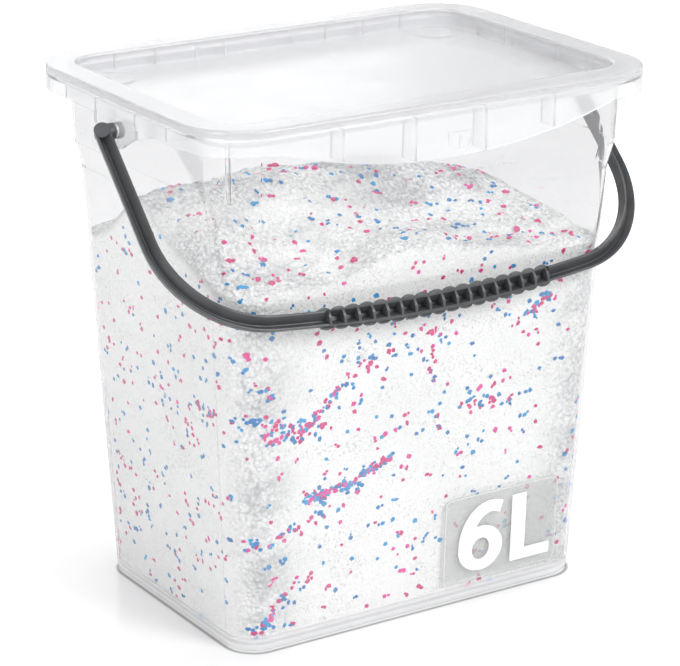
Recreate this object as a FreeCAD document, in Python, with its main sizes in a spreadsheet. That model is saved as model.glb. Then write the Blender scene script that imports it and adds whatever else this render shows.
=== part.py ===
import FreeCAD, Part
import math
import os

import Sketcher

# Storage pail for washing powder, six litres, in clear plastic.
# Five solids: the pail, its press-on lid, the carrying handle, the powder inside it
# and the capacity label on the front wall.
# Millimetres, +Z up, X along the long side, the front faces -Y, the floor is z = 0.

doc = FreeCAD.newDocument("DetergentBox")
Vec = FreeCAD.Vector

# ---------------------------------------------------------------- sizes
sheet = doc.addObject("Spreadsheet::Sheet", "Sizes")
SIZES = {
    "rim_length": 232.0,          # over the collar and the lid's skirt
    "rim_width": 168.0,
    "rim_corner": 28.5,
    "base_length": 183.0,         # pail at the floor
    "base_width": 124.0,
    "base_corner": 14.5,
    "nest_length": 204.0,         # pail just below the nesting shoulder
    "nest_width": 140.5,
    "nest_corner": 16.0,
    "nest_height": 196.0,
    "step_length": 209.0,         # pail just above the nesting shoulder
    "step_width": 145.5,
    "step_corner": 17.5,
    "step_height": 207.5,
    "mouth_length": 211.5,        # pail at its lip
    "mouth_width": 148.0,
    "mouth_corner": 18.5,
    "lip_height": 240.7,
    "wall": 1.5,
    "floor_height": 3.6,
    "foot_height": 1.5,
    "foot_width": 6.0,
    "base_edge": 3.0,
    "floor_edge": 3.5,
    "flange_top": 239.2,
    "flange_thick": 1.6,
    "skirt_wall": 1.5,
    "collar_bottom": 231.6,
    "apron_half": 86.0,
    "apron_depth": 13.6,          # how far the front apron dips in its middle
    "gusset": 1.3,
    "gusset_pitch": 36.0,
    "end_gusset": 44.0,
    "lug_thick": 2.2,
    "pivot_height": 227.1,
    "pin_radius": 3.0,
    "pin_hole": 3.05,
    "lid_bottom": 239.5,
    "lid_top": 242.7,
    "lid_skin": 1.5,
    "lid_skirt": 1.5,
    "lid_edge": 1.6,
    "plug_length": 207.4,
    "plug_width": 143.9,
    "plug_corner": 16.6,
    "plug_bottom": 232.6,
    "plug_wall": 1.3,
    "recess_depth": 8.6,
    "recess_edge": 1.2,
    "panel_thick": 1.3,
    "lid_rib": 1.0,
    "lid_rib_first": 35.0,
    "lid_rib_pitch": 21.0,
    "lid_rib_proud": 0.6,
    "stud_radius": 10.5,
    "stud_height": 0.7,
    "swing": 45.7,                # handle's rest angle, forward of hanging straight down
    "arm_section": 6.8,           # across the arm's open face
    "arm_depth": 5.0,             # from the open face to the back
    "arm_twist": 22.0,            # how far the open face turns outward from the bail's plane
    "arm_edge": 0.7,
    "bail_top_half": 121.6,
    "bail_lean": 0.8,             # how far each arm leans outward on its way down
    "bail_drop": 107.0,
    "bail_bend": 46.0,
    "bail_bow": 705.0,
    "channel_wall": 0.9,
    "channel_depth": 3.0,
    "channel_shift": 0.9,         # how far the trough's crease lies outward of its middle
    "grip_half": 56.8,
    "grip_ribs": 17.0,
    "grip_end": 3.5,              # half height of the grip's frame at its ends
    "grip_middle": 4.2,
    "grip_crown": 1.0,            # how far the ribs bulge in front of the frame's edges
    "grip_rib": 1.2,
    "grip_wall": 0.6,
    "grip_well": 4.0,
    "grip_lobe": 1.3,
    "lobe_thick": 1.35,
    "fill_gap": 0.4,
    "label_left": 13.5,
    "label_length": 63.0,
    "label_bottom": 9.5,
    "label_height": 42.5,
    "label_corner": 3.5,
    "label_thick": 0.4,
}
for row, (alias, number) in enumerate(SIZES.items(), start=1):
    sheet.set("A%d" % row, alias)
    sheet.set("B%d" % row, str(number))
    sheet.setAlias("B%d" % row, alias)
doc.recompute()


class Link:
    """A size that carries both its number and the sheet expression it comes from."""

    def __init__(self, number, text):
        self.number = number
        self.text = text

    def __add__(self, other):
        other = as_link(other)
        return Link(self.number + other.number, "(%s + %s)" % (self.text, other.text))

    def __sub__(self, other):
        other = as_link(other)
        return Link(self.number - other.number, "(%s - %s)" % (self.text, other.text))

    def __mul__(self, other):
        other = as_link(other)
        return Link(self.number * other.number, "(%s * %s)" % (self.text, other.text))

    def __neg__(self):
        return Link(-self.number, "(0 - %s)" % self.text)


def as_link(value):
    if isinstance(value, Link):
        return value
    return Link(float(value), "%.6f" % float(value))


def size(alias):
    return Link(SIZES[alias], "Sizes.%s" % alias)


def bind(obj, path, value, unit=" * 1 mm"):
    value = as_link(value)
    obj.setExpression(path, value.text + unit)


def body_named(label):
    body = doc.addObject("PartDesign::Body", "Body_" + label)
    body.Label = label
    return body


def sketch_on(body, plane, label, height=None, turn=None):
    """A sketch on one of the body's origin planes, lifted by height along its normal."""
    sketch = body.newObject("Sketcher::SketchObject", label)
    for feature in body.Origin.OriginFeatures:
        if plane in feature.Name:
            sketch.AttachmentSupport = [(feature, "")]
    sketch.MapMode = "FlatFace"
    if turn is not None:
        sketch.AttachmentOffset = turn
    if height is not None:
        bind(sketch, "AttachmentOffset.Base.z", height)
    return sketch


def set_size(sketch, index, name, value):
    sketch.renameConstraint(index, name)
    bind(sketch, "Constraints." + name, value)


def rounded_rect(sketch, length, width, corner, name):
    """A rounded rectangle about the sketch's origin, fully constrained."""
    length = as_link(length)
    width = as_link(width)
    corner = as_link(corner)
    hx = length.number / 2.0
    hy = width.number / 2.0
    r = corner.number
    first = sketch.GeometryCount
    right, far = hx - r, hy - r
    corners = ((right, -far, -90.0), (right, far, 0.0), (-right, far, 90.0), (-right, -far, 180.0))
    ends = (
        ((-hx + r, -hy), (hx - r, -hy)),
        ((hx, -hy + r), (hx, hy - r)),
        ((hx - r, hy), (-hx + r, hy)),
        ((-hx, hy - r), (-hx, -hy + r)),
    )
    for start, end in ends:
        sketch.addGeometry(Part.LineSegment(Vec(start[0], start[1], 0), Vec(end[0], end[1], 0)), False)
    for cx, cy, angle in corners:
        circle = Part.Circle(Vec(cx, cy, 0), Vec(0, 0, 1), r)
        arc = Part.ArcOfCircle(circle, math.radians(angle), math.radians(angle + 90.0))
        sketch.addGeometry(arc, False)
    for k in range(4):
        line = first + k
        arc = first + 4 + k
        following = first + (k + 1) % 4
        sketch.addConstraint(Sketcher.Constraint("Tangent", line, 2, arc, 1))
        sketch.addConstraint(Sketcher.Constraint("Tangent", arc, 2, following, 1))
    sketch.addConstraint(Sketcher.Constraint("Horizontal", first))
    sketch.addConstraint(Sketcher.Constraint("Horizontal", first + 2))
    sketch.addConstraint(Sketcher.Constraint("Vertical", first + 1))
    sketch.addConstraint(Sketcher.Constraint("Vertical", first + 3))
    for k in range(3):
        sketch.addConstraint(Sketcher.Constraint("Equal", first + 4 + k, first + 5 + k))
    sketch.addConstraint(Sketcher.Constraint("Symmetric", first + 4, 3, first + 6, 3, -1, 1))
    index = sketch.addConstraint(Sketcher.Constraint("DistanceX", first + 3, 1, first + 1, 1, 2 * hx))
    set_size(sketch, index, name + "_length", length)
    index = sketch.addConstraint(Sketcher.Constraint("DistanceY", first, 1, first + 2, 1, 2 * hy))
    set_size(sketch, index, name + "_width", width)
    index = sketch.addConstraint(Sketcher.Constraint("Radius", first + 4, r))
    set_size(sketch, index, name + "_corner", corner)
    return sketch


def closed_outline(sketch, points):
    """Straight lines through the points and back to the first."""
    for k, point in enumerate(points):
        after = points[(k + 1) % len(points)]
        sketch.addGeometry(Part.LineSegment(Vec(point[0], point[1], 0), Vec(after[0], after[1], 0)), False)


def loft(body, kind, label, sections):
    feature = body.newObject("PartDesign::" + kind, label)
    feature.Profile = sections[0]
    feature.Sections = sections[1:]
    feature.Ruled = True
    doc.recompute()
    return feature


def extrude(body, kind, label, sketch, length, reverse=False, middle=False):
    feature = body.newObject("PartDesign::" + kind, label)
    feature.Profile = sketch
    bind(feature, "Length", length)
    feature.Reversed = reverse
    if middle:
        feature.SideType = "Symmetric"
    doc.recompute()
    return feature


def edges_at(shape, low, high, least=0.0):
    """Names of the edges lying wholly between two heights."""
    names = []
    for k, edge in enumerate(shape.Edges, start=1):
        box = edge.BoundBox
        if box.ZMin >= low and box.ZMax <= high and edge.Length >= least:
            names.append("Edge%d" % k)
    return names


def fillet(body, label, names, radius):
    feature = body.newObject("PartDesign::Fillet", label)
    feature.Base = (body.Tip if body.Tip != feature else feature.BaseFeature, names)
    bind(feature, "Radius", radius)
    doc.recompute()
    return feature


def mirrored(body, label, originals, plane):
    feature = body.newObject("PartDesign::Mirrored", label)
    feature.Originals = originals
    for item in body.Origin.OriginFeatures:
        if plane in item.Name:
            feature.MirrorPlane = (item, [""])
    body.Tip = feature
    doc.recompute()
    return feature


# ---------------------------------------------------------------- pail
tub = body_named("tub")
LEVELS = (
    ("nest", size("nest_height")),
    ("step", size("step_height")),
    ("mouth", size("lip_height")),
)
# Quarter-round easing of an edge, as shares of its radius: name, lift, pull inward.
EASING = (("edge", 0.0, 1.0), ("toe", 0.13, 0.507), ("foot", 0.4, 0.2), ("heel", 1.0, 0.0))


def eased_levels(body, prefix, bottom, radius, inset):
    """Outline sketches that round the pail's lower edge, each on the tapering wall."""
    sketches = []
    for name, lift, pull in EASING:
        level = bottom + radius * lift
        share = level.number / SIZES["nest_height"]
        inward = (inset + radius * pull) * 2
        sketch = sketch_on(body, "XY_Plane", prefix + name, level)
        rounded_rect(
            sketch,
            size("base_length") + (size("nest_length") - size("base_length")) * share - inward,
            size("base_width") + (size("nest_width") - size("base_width")) * share - inward,
            size("base_corner") + (size("nest_corner") - size("base_corner")) * share - inward * 0.5,
            name,
        )
        sketches.append(sketch)
    return sketches


outer = eased_levels(tub, "outer_", as_link(0.0), size("base_edge"), as_link(0.0))
for stage, level in LEVELS:
    sketch = sketch_on(tub, "XY_Plane", "outer_" + stage, level)
    rounded_rect(sketch, size(stage + "_length"), size(stage + "_width"), size(stage + "_corner"), stage)
    outer.append(sketch)
doc.recompute()
loft(tub, "AdditiveLoft", "pail_block", outer)

# The hollow: the same outline in by one wall, from the floor to above the lip.
slope_width = (SIZES["nest_width"] - SIZES["base_width"]) / SIZES["nest_height"]
wall = size("wall")
inner = eased_levels(tub, "hollow_", size("floor_height"), size("floor_edge"), wall)
for stage, level in LEVELS:
    sketch = sketch_on(tub, "XY_Plane", "hollow_" + stage, level)
    rounded_rect(
        sketch,
        size(stage + "_length") - wall * 2,
        size(stage + "_width") - wall * 2,
        size(stage + "_corner") - wall,
        stage,
    )
    inner.append(sketch)
doc.recompute()
loft(tub, "SubtractiveLoft", "hollow", inner)

# The floor is lifted off the table on a narrow foot.
sketch = sketch_on(tub, "XY_Plane", "foot_outline", 0.0)
foot = size("foot_width")
rounded_rect(
    sketch,
    size("base_length") - foot * 2,
    size("base_width") - foot * 2,
    size("base_corner") - foot,
    "foot",
)
extrude(tub, "Pocket", "foot_recess", sketch, size("foot_height"), reverse=True)

# Collar: a flange out from the lip and a skirt hanging from it.
sketch = sketch_on(tub, "XY_Plane", "flange_outline", size("flange_top"))
rounded_rect(sketch, size("rim_length"), size("rim_width"), size("rim_corner"), "rim")
rounded_rect(
    sketch,
    size("mouth_length") - wall * 1.4,
    size("mouth_width") - wall * 1.4,
    size("mouth_corner") - wall * 0.7,
    "throat",
)
extrude(tub, "Pad", "flange", sketch, size("flange_thick"), reverse=True)

skirt = size("skirt_wall")
sketch = sketch_on(tub, "XY_Plane", "skirt_outline", size("collar_bottom"))
rounded_rect(sketch, size("rim_length"), size("rim_width"), size("rim_corner"), "skirt_out")
rounded_rect(
    sketch,
    size("rim_length") - skirt * 2,
    size("rim_width") - skirt * 2,
    size("rim_corner") - skirt,
    "skirt_in",
)
extrude(tub, "Pad", "skirt", sketch, size("flange_top") - size("collar_bottom") - 0.4)

# Front apron: the skirt runs deeper along the front in one shallow bow.
front_y = SIZES["rim_width"] / 2.0
apron_half = SIZES["apron_half"]
collar_z = SIZES["collar_bottom"]
apron_z = collar_z - SIZES["apron_depth"]
sketch = sketch_on(tub, "XZ_Plane", "apron_outline", size("rim_width") * 0.5)
sketch.addGeometry(Part.LineSegment(Vec(apron_half, collar_z, 0), Vec(apron_half, collar_z + 2, 0)), False)
sketch.addGeometry(
    Part.LineSegment(Vec(apron_half, collar_z + 2, 0), Vec(-apron_half, collar_z + 2, 0)), False
)
sketch.addGeometry(Part.LineSegment(Vec(-apron_half, collar_z + 2, 0), Vec(-apron_half, collar_z, 0)), False)
bow = Part.Arc(Vec(-apron_half, collar_z, 0), Vec(0, apron_z, 0), Vec(apron_half, collar_z, 0))
sketch.addGeometry(bow, False)
extrude(tub, "Pad", "apron", sketch, size("skirt_wall"), reverse=True)

# Half-moon tab mark raised on the apron.
MARK_X = 4.0
MARK_Z = collar_z - 2.6
MARK_R = 6.2
MARK_DROP = 2.8
sketch = sketch_on(tub, "XZ_Plane", "mark_outline", size("rim_width") * 0.5 - 0.2)
for radius in (MARK_R, MARK_R - 0.9):
    left = MARK_X - radius
    right = MARK_X + radius
    top = MARK_Z if radius == MARK_R else MARK_Z - 0.9
    low = MARK_Z - MARK_DROP
    sketch.addGeometry(Part.LineSegment(Vec(right, low, 0), Vec(right, top, 0)), False)
    sketch.addGeometry(Part.LineSegment(Vec(right, top, 0), Vec(left, top, 0)), False)
    sketch.addGeometry(Part.LineSegment(Vec(left, top, 0), Vec(left, low, 0)), False)
    curve = Part.Arc(Vec(left, low, 0), Vec(MARK_X, low - radius, 0), Vec(right, low, 0))
    sketch.addGeometry(curve, False)
extrude(tub, "Pad", "half_moon", sketch, 0.7)
sketch = sketch_on(tub, "XZ_Plane", "mark_tick_outline", size("rim_width") * 0.5 - 0.2)
tick_low = MARK_Z - 7.0
tick_high = MARK_Z - 2.0
tick_left, tick_right = MARK_X - 0.4, MARK_X + 0.4
tick = [(tick_left, tick_low), (tick_right, tick_low), (tick_right, tick_high), (tick_left, tick_high)]
closed_outline(sketch, tick)
extrude(tub, "Pad", "half_moon_tick", sketch, 0.6)

# Gussets behind the collar: deep ones along the apron, short ones elsewhere.
half_gusset = SIZES["gusset"] / 2.0
pitch = SIZES["gusset_pitch"]
wall_y = SIZES["step_width"] / 2.0 - 0.6
wall_x = SIZES["step_length"] / 2.0 - 0.6
under_flange = size("flange_top") - 1.0


def gusset_rects(sketch, rects):
    for x0, y0, x1, y1 in rects:
        closed_outline(sketch, [(x0, y0), (x1, y0), (x1, y1), (x0, y1)])


for name, places, drop in (("inner", (0.5,), 19.6), ("outer", (1.5,), 14.4)):
    sketch = sketch_on(tub, "XY_Plane", "apron_gusset_%s_outline" % name, under_flange)
    rects = []
    for place in places:
        for side in (-1, 1):
            x = side * place * pitch
            rects.append((x - half_gusset, -front_y + 0.8, x + half_gusset, -wall_y))
    gusset_rects(sketch, rects)
    extrude(tub, "Pad", "apron_gussets_" + name, sketch, drop, reverse=True)

sketch = sketch_on(tub, "XY_Plane", "collar_gusset_outline", under_flange)
rects = []
for place in (-1.5, -0.5, 0.5, 1.5):
    x = place * pitch
    rects.append((x - half_gusset, wall_y, x + half_gusset, front_y - 0.8))
for y in (-SIZES["end_gusset"], SIZES["end_gusset"]):
    rects.append((wall_x, y - half_gusset, SIZES["rim_length"] / 2.0 - 0.8, y + half_gusset))
    rects.append((-SIZES["rim_length"] / 2.0 + 0.8, y - half_gusset, -wall_x, y + half_gusset))
gusset_rects(sketch, rects)
extrude(tub, "Pad", "collar_gussets", sketch, 6.2, reverse=True)

# Corner fins below the collar at the two front corners, each on its corner's diagonal.
corner_x = SIZES["step_length"] / 2.0 - SIZES["step_corner"]
corner_y = SIZES["step_width"] / 2.0 - SIZES["step_corner"]
stand = FreeCAD.Rotation(Vec(0, 0, 1), -45.0) * FreeCAD.Rotation(Vec(1, 0, 0), 90.0)
fin_place = FreeCAD.Placement(Vec(corner_x, -corner_y, 0), stand)
sketch = sketch_on(tub, "XY_Plane", "fin_outline", None, fin_place)
FIN_IN = SIZES["step_corner"] - 0.7
FIN_OUT = SIZES["step_corner"] + 4.6
fin_low = SIZES["step_height"] + 1.0
fin_high = SIZES["flange_top"] - 1.4
closed_outline(
    sketch,
    [
        (FIN_IN, fin_low),
        (FIN_IN + 0.9, fin_low),
        (FIN_OUT, fin_low + 7.0),
        (FIN_OUT, fin_high),
        (FIN_IN, fin_high),
    ],
)
fin = extrude(tub, "Pad", "corner_fin", sketch, size("gusset"), middle=True)

# Handle lugs: a plate hanging from the collar on each end, stiffened by two gussets.
LUG_HALF = 18.0
pivot_z = SIZES["pivot_height"]
lug_top = SIZES["collar_bottom"] + 1.4
sketch = sketch_on(tub, "YZ_Plane", "lug_outline", size("rim_length") * 0.5)
closed_outline(
    sketch,
    [
        (-LUG_HALF, lug_top),
        (-LUG_HALF, pivot_z + 0.4),
        (-9.0, pivot_z - 4.5),
        (-5.0, pivot_z - 6.9),
        (5.0, pivot_z - 6.9),
        (9.0, pivot_z - 4.5),
        (LUG_HALF, pivot_z + 0.4),
        (LUG_HALF, lug_top),
    ],
)
lug = extrude(tub, "Pad", "lug", sketch, size("lug_thick"), reverse=True)
sketch = sketch_on(tub, "XY_Plane", "lug_gusset_outline", under_flange)
rects = []
for side in (-1, 1):
    low = side * (LUG_HALF - 0.7) - 0.7
    rects.append((wall_x, low, SIZES["rim_length"] / 2.0 - 0.8, low + 1.4))
gusset_rects(sketch, rects)
lug_gussets = extrude(tub, "Pad", "lug_gussets", sketch, 11.6, reverse=True)
sketch = sketch_on(tub, "YZ_Plane", "pin_hole_outline", size("rim_length") * 0.5 + 0.2)
sketch.addGeometry(Part.Circle(Vec(0, pivot_z, 0), Vec(0, 0, 1), SIZES["pin_hole"]), False)
index = sketch.addConstraint(Sketcher.Constraint("Radius", 0, SIZES["pin_hole"]))
set_size(sketch, index, "hole", size("pin_hole"))
hole = extrude(tub, "Pocket", "pin_hole", sketch, size("lug_thick") + 1.0)
mirrored(tub, "other_end", [fin, lug, lug_gussets, hole], "YZ_Plane")

# ---------------------------------------------------------------- lid
lid = body_named("lid")
sketch = sketch_on(lid, "XY_Plane", "cap_outline", size("lid_bottom"))
rounded_rect(sketch, size("rim_length"), size("rim_width"), size("rim_corner"), "cap")
cap = extrude(lid, "Pad", "cap", sketch, size("lid_top") - size("lid_bottom"))
cap_rim = edges_at(cap.Shape, SIZES["lid_top"] - 0.1, SIZES["lid_top"] + 0.1)
fillet(lid, "cap_rounding", cap_rim, size("lid_edge"))

sketch = sketch_on(lid, "XY_Plane", "plug_outline", size("plug_bottom"))
rounded_rect(sketch, size("plug_length"), size("plug_width"), size("plug_corner"), "plug")
extrude(lid, "Pad", "plug", sketch, size("lid_top") - size("plug_bottom") - 1.0)

plug_wall = size("plug_wall")
sketch = sketch_on(lid, "XY_Plane", "recess_outline", size("lid_top"))
rounded_rect(
    sketch,
    size("plug_length") - plug_wall * 2,
    size("plug_width") - plug_wall * 2,
    size("plug_corner") - plug_wall,
    "recess",
)
recess = extrude(lid, "Pocket", "recess", sketch, size("recess_depth"))
top = SIZES["lid_top"]
mouth_edges = []
for k, edge in enumerate(recess.Shape.Edges, start=1):
    box = edge.BoundBox
    inside = max(abs(box.XMin), abs(box.XMax)) < SIZES["plug_length"] / 2.0
    inside = inside and max(abs(box.YMin), abs(box.YMax)) < SIZES["plug_width"] / 2.0
    if box.ZMin > top - 0.1 and inside:
        mouth_edges.append("Edge%d" % k)
fillet(lid, "recess_rounding", mouth_edges, size("recess_edge"))

panel_under = size("lid_top") - size("recess_depth") - size("panel_thick")
sketch = sketch_on(lid, "XY_Plane", "under_outline", panel_under)
rounded_rect(
    sketch,
    size("plug_length") - plug_wall * 2,
    size("plug_width") - plug_wall * 2,
    size("plug_corner") - plug_wall,
    "under",
)
extrude(lid, "Pocket", "under_recess", sketch, size("wall") * 4)

# The channel that takes the pail's lip.
skirt_in = size("lid_skirt")
sketch = sketch_on(lid, "XY_Plane", "channel_outline", size("lid_top") - size("lid_skin"))
rounded_rect(
    sketch,
    size("rim_length") - skirt_in * 2,
    size("rim_width") - skirt_in * 2,
    size("rim_corner") - skirt_in,
    "channel_out",
)
rounded_rect(sketch, size("plug_length"), size("plug_width"), size("plug_corner"), "channel_in")
extrude(lid, "Pocket", "channel", sketch, 4.0)

# Ribs up the recess wall and a round stacking stud in each corner of the panel.
recess_x = SIZES["plug_length"] / 2.0 - SIZES["plug_wall"]
recess_y = SIZES["plug_width"] / 2.0 - SIZES["plug_wall"]
rib = SIZES["lid_rib"] / 2.0
proud = SIZES["lid_rib_proud"]
sketch = sketch_on(lid, "XY_Plane", "rib_outline", panel_under + size("panel_thick") - 0.2)
rects = []
rib_pitch = SIZES["lid_rib_pitch"]
for side in (-1, 1):
    for k in range(3):
        x = side * (SIZES["lid_rib_first"] + k * rib_pitch)
        rects.append((x - rib, recess_y - proud, x + rib, recess_y + 0.4))
        rects.append((x - rib, -recess_y - 0.4, x + rib, -recess_y + proud))
    for k in (1, 2):
        y = side * k * rib_pitch
        rects.append((recess_x - proud, y - rib, recess_x + 0.4, y + rib))
        rects.append((-recess_x - 0.4, y - rib, -recess_x + proud, y + rib))
gusset_rects(sketch, rects)
extrude(lid, "Pad", "recess_ribs", sketch, 7.2)
sketch = sketch_on(lid, "XY_Plane", "stud_outline", panel_under + size("panel_thick") - 0.2)
for sx in (-1, 1):
    for sy in (-1, 1):
        centre = Vec(sx * (recess_x - 15.5), sy * (recess_y - 15.5), 0)
        sketch.addGeometry(Part.Circle(centre, Vec(0, 0, 1), SIZES["stud_radius"]), False)
extrude(lid, "Pad", "stacking_studs", sketch, size("stud_height") + 0.2)

# ---------------------------------------------------------------- handle
# Drawn hanging straight down from its pivots, then swung forward to its rest angle.
# Its section is a trough whose open face looks forward and a little outward.
handle_body = body_named("handle_bail")
top_x = SIZES["bail_top_half"]
bow_r = SIZES["bail_bow"]
bend_r = SIZES["bail_bend"]
half = SIZES["arm_section"] / 2.0
deep = SIZES["arm_depth"] / 2.0
edge = SIZES["arm_edge"]
twist = math.radians(SIZES["arm_twist"])
lean = math.atan2(SIZES["bail_lean"], 56.0)
bow_z = bow_r - SIZES["bail_drop"]
# The arm's line leaves the pivot at the lean angle; the bend is tangent to it and to the bow.
arm_dx = math.sin(lean)
arm_dz = -math.cos(lean)
in_x = arm_dz
in_z = -arm_dx
# Distance down the arm to the bend, from the tangency of bend and bow.
base_x = top_x + bend_r * in_x
base_z = bend_r * in_z
along = base_x * arm_dx + (base_z - bow_z) * arm_dz
square = base_x ** 2 + (base_z - bow_z) ** 2 - (bow_r - bend_r) ** 2
run = -along + math.sqrt(along ** 2 - square)
bend_x = base_x + run * arm_dx
bend_z = base_z + run * arm_dz
to_bow = math.atan2(bend_z - bow_z, bend_x)


def flip(point):
    return Vec(-point.x, point.y, 0)


def bow_height(x):
    """Height of the bail's centre line at x."""
    return bow_z - math.sqrt(bow_r ** 2 - x ** 2)


def across(points):
    """Section points, given across the open face and forward, turned outward by the twist."""
    turned = []
    for u, v in points:
        turned.append((u * math.cos(twist) + v * math.sin(twist), u * math.sin(twist) - v * math.cos(twist)))
    return turned


def section_at(x, z, slope, points, label):
    """A sketch of the section, square to the bail's line where it passes through x and z."""
    turn = FreeCAD.Placement(Vec(x, 0, z), FreeCAD.Rotation(Vec(0, 1, 0), math.degrees(slope)))
    sketch = sketch_on(handle_body, "XY_Plane", label, None, turn)
    closed_outline(sketch, across(points))
    return sketch


def sweep(kind, label, profile, spine):
    """A section carried along a flat line, keeping its tilt to the line's plane."""
    feature = handle_body.newObject("PartDesign::" + kind, label)
    feature.Profile = profile
    feature.Spine = (spine, ["Edge%d" % (k + 1) for k in range(spine.GeometryCount)])
    feature.Mode = "Binormal"
    feature.Binormal = Vec(0, 1, 0)
    doc.recompute()
    return feature


# Centre line: arm, bend, bow, bend, arm.
line_end = Vec(top_x + run * arm_dx, run * arm_dz, 0)
middle = (math.atan2(-in_z, -in_x) + to_bow) / 2.0
bend_mid = Vec(bend_x + bend_r * math.cos(middle), bend_z + bend_r * math.sin(middle), 0)
bend_end = Vec(bend_x + bend_r * math.cos(to_bow), bend_z + bend_r * math.sin(to_bow), 0)
arm_top = Vec(top_x, 0, 0)
line = sketch_on(handle_body, "XZ_Plane", "bail_line", 0.0)
line.addGeometry(Part.LineSegment(arm_top, line_end), False)
line.addGeometry(Part.Arc(line_end, bend_mid, bend_end), False)
line.addGeometry(Part.Arc(bend_end, Vec(0, bow_z - bow_r, 0), flip(bend_end)), False)
line.addGeometry(Part.Arc(flip(bend_end), flip(bend_mid), flip(line_end)), False)
line.addGeometry(Part.LineSegment(flip(line_end), flip(arm_top)), False)
doc.recompute()

trough_back = [
    (-half, deep - 0.3),
    (-half, -deep + edge),
    (-half + edge, -deep),
    (half - edge, -deep),
    (half, -deep + edge),
    (half, deep - 0.3),
    (half - 0.3, deep),
    (-half + 0.3, deep),
]
profile = section_at(top_x, 0.0, -lean, trough_back, "arm_section")
sweep("AdditivePipe", "bail", profile, line)

# Grip: a frame that swells towards its middle, drawn in the plane of its own open face.
grip_half = SIZES["grip_half"]
cells = int(SIZES["grip_ribs"]) - 1
cell = 2.0 * grip_half / cells
crown = SIZES["grip_crown"]
GRIP_REACH = SIZES["grip_rib"] / 2.0


def grip_half_height(x):
    """Half height of the grip's frame, a barrel."""
    swell = max(0.0, 1.0 - (x / grip_half) ** 2)
    return SIZES["grip_end"] + (SIZES["grip_middle"] - SIZES["grip_end"]) * swell


def grip_rise(x):
    """How far the bow's line rises across the grip's face at x."""
    return (bow_height(x) + SIZES["bail_drop"]) * math.cos(twist)


def grip_sketch(label, forward):
    """A sketch in the grip's open face, moved forward out of it."""
    drop = -SIZES["bail_drop"] - math.sin(twist) * forward
    tilt = FreeCAD.Rotation(Vec(1, 0, 0), SIZES["arm_twist"])
    turn = FreeCAD.Placement(Vec(0, drop, math.cos(twist) * forward), tilt)
    return sketch_on(handle_body, "XZ_Plane", label, None, turn)


reach = grip_half + GRIP_REACH
sketch = grip_sketch("grip_outline", -deep)
for side in (1, -1):
    ends = []
    for x in (-reach, 0.0, reach):
        ends.append(Vec(x, grip_rise(x) + side * grip_half_height(x), 0))
    sketch.addGeometry(Part.Arc(ends[0], ends[1], ends[2]), False)
for x in (-reach, reach):
    low = Vec(x, grip_rise(x) - grip_half_height(x), 0)
    high = Vec(x, grip_rise(x) + grip_half_height(x), 0)
    sketch.addGeometry(Part.LineSegment(low, high), False)
extrude(handle_body, "Pad", "grip_block", sketch, size("arm_depth") + size("grip_crown"))

# The trough runs the whole way round and is wider within the grip.
CREASE = 0.2
trough_half = half - SIZES["channel_wall"]
floor_v = deep - SIZES["channel_depth"]
trough = [
    (-trough_half, deep),
    (SIZES["channel_shift"] - CREASE, floor_v),
    (SIZES["channel_shift"] + CREASE, floor_v),
    (trough_half, deep),
    (trough_half, deep + 0.4),
    (-trough_half, deep + 0.4),
]
profile = section_at(top_x, 0.0, -lean, trough, "channel_section")
sweep("SubtractivePipe", "channel", profile, line)

grip_z = bow_height(reach)
grip_slope = math.asin(reach / bow_r)
grip_line = sketch_on(handle_body, "XZ_Plane", "grip_line", 0.0)
grip_ends = (Vec(reach, grip_z, 0), Vec(-reach, grip_z, 0))
grip_line.addGeometry(Part.Arc(grip_ends[0], Vec(0, bow_z - bow_r, 0), grip_ends[1]), False)
doc.recompute()
well_half = SIZES["grip_end"] - SIZES["grip_wall"]
well_v = deep - SIZES["grip_well"]
well = [
    (-well_half, deep),
    (-CREASE, well_v),
    (3.0 * CREASE, well_v),
    (well_half, deep),
    (well_half + 0.2, deep + crown + 1.0),
    (-well_half - 0.2, deep + crown + 1.0),
]
# Square to the bow at the right end of the grip, where outward is almost straight down.
profile = section_at(reach, grip_z, math.pi / 2.0 - grip_slope, well, "well_section")
sweep("SubtractivePipe", "grip_well", profile, grip_line)

# Ribs stand across the well and bulge forward of the frame in a shallow crown.
sketch = grip_sketch("rib_outline", -deep + 0.5)
rects = []
for k in range(cells + 1):
    x = -grip_half + k * cell
    tall = grip_half_height(x) - 0.3
    rects.append((x - GRIP_REACH, grip_rise(x) - tall, x + GRIP_REACH, grip_rise(x) + tall))
for x0, y0, x1, y1 in rects:
    closed_outline(sketch, [(x0, y0), (x1, y0), (x1, y1), (x0, y1)])
extrude(handle_body, "Pad", "grip_ribs", sketch, size("arm_depth") + size("grip_crown") - 0.4)

CROWN_STEPS = 8
above = []
for k in range(CROWN_STEPS + 1):
    u = -5.2 + 10.4 * k / CROWN_STEPS
    above.append((u, deep + crown * (1.0 - (u / SIZES["grip_end"]) ** 2)))
above.append((5.2, deep + crown + 2.5))
above.append((-5.2, deep + crown + 2.5))
profile = section_at(reach, grip_z, math.pi / 2.0 - grip_slope, above, "crown_section")
sweep("SubtractivePipe", "crown", profile, grip_line)

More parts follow.
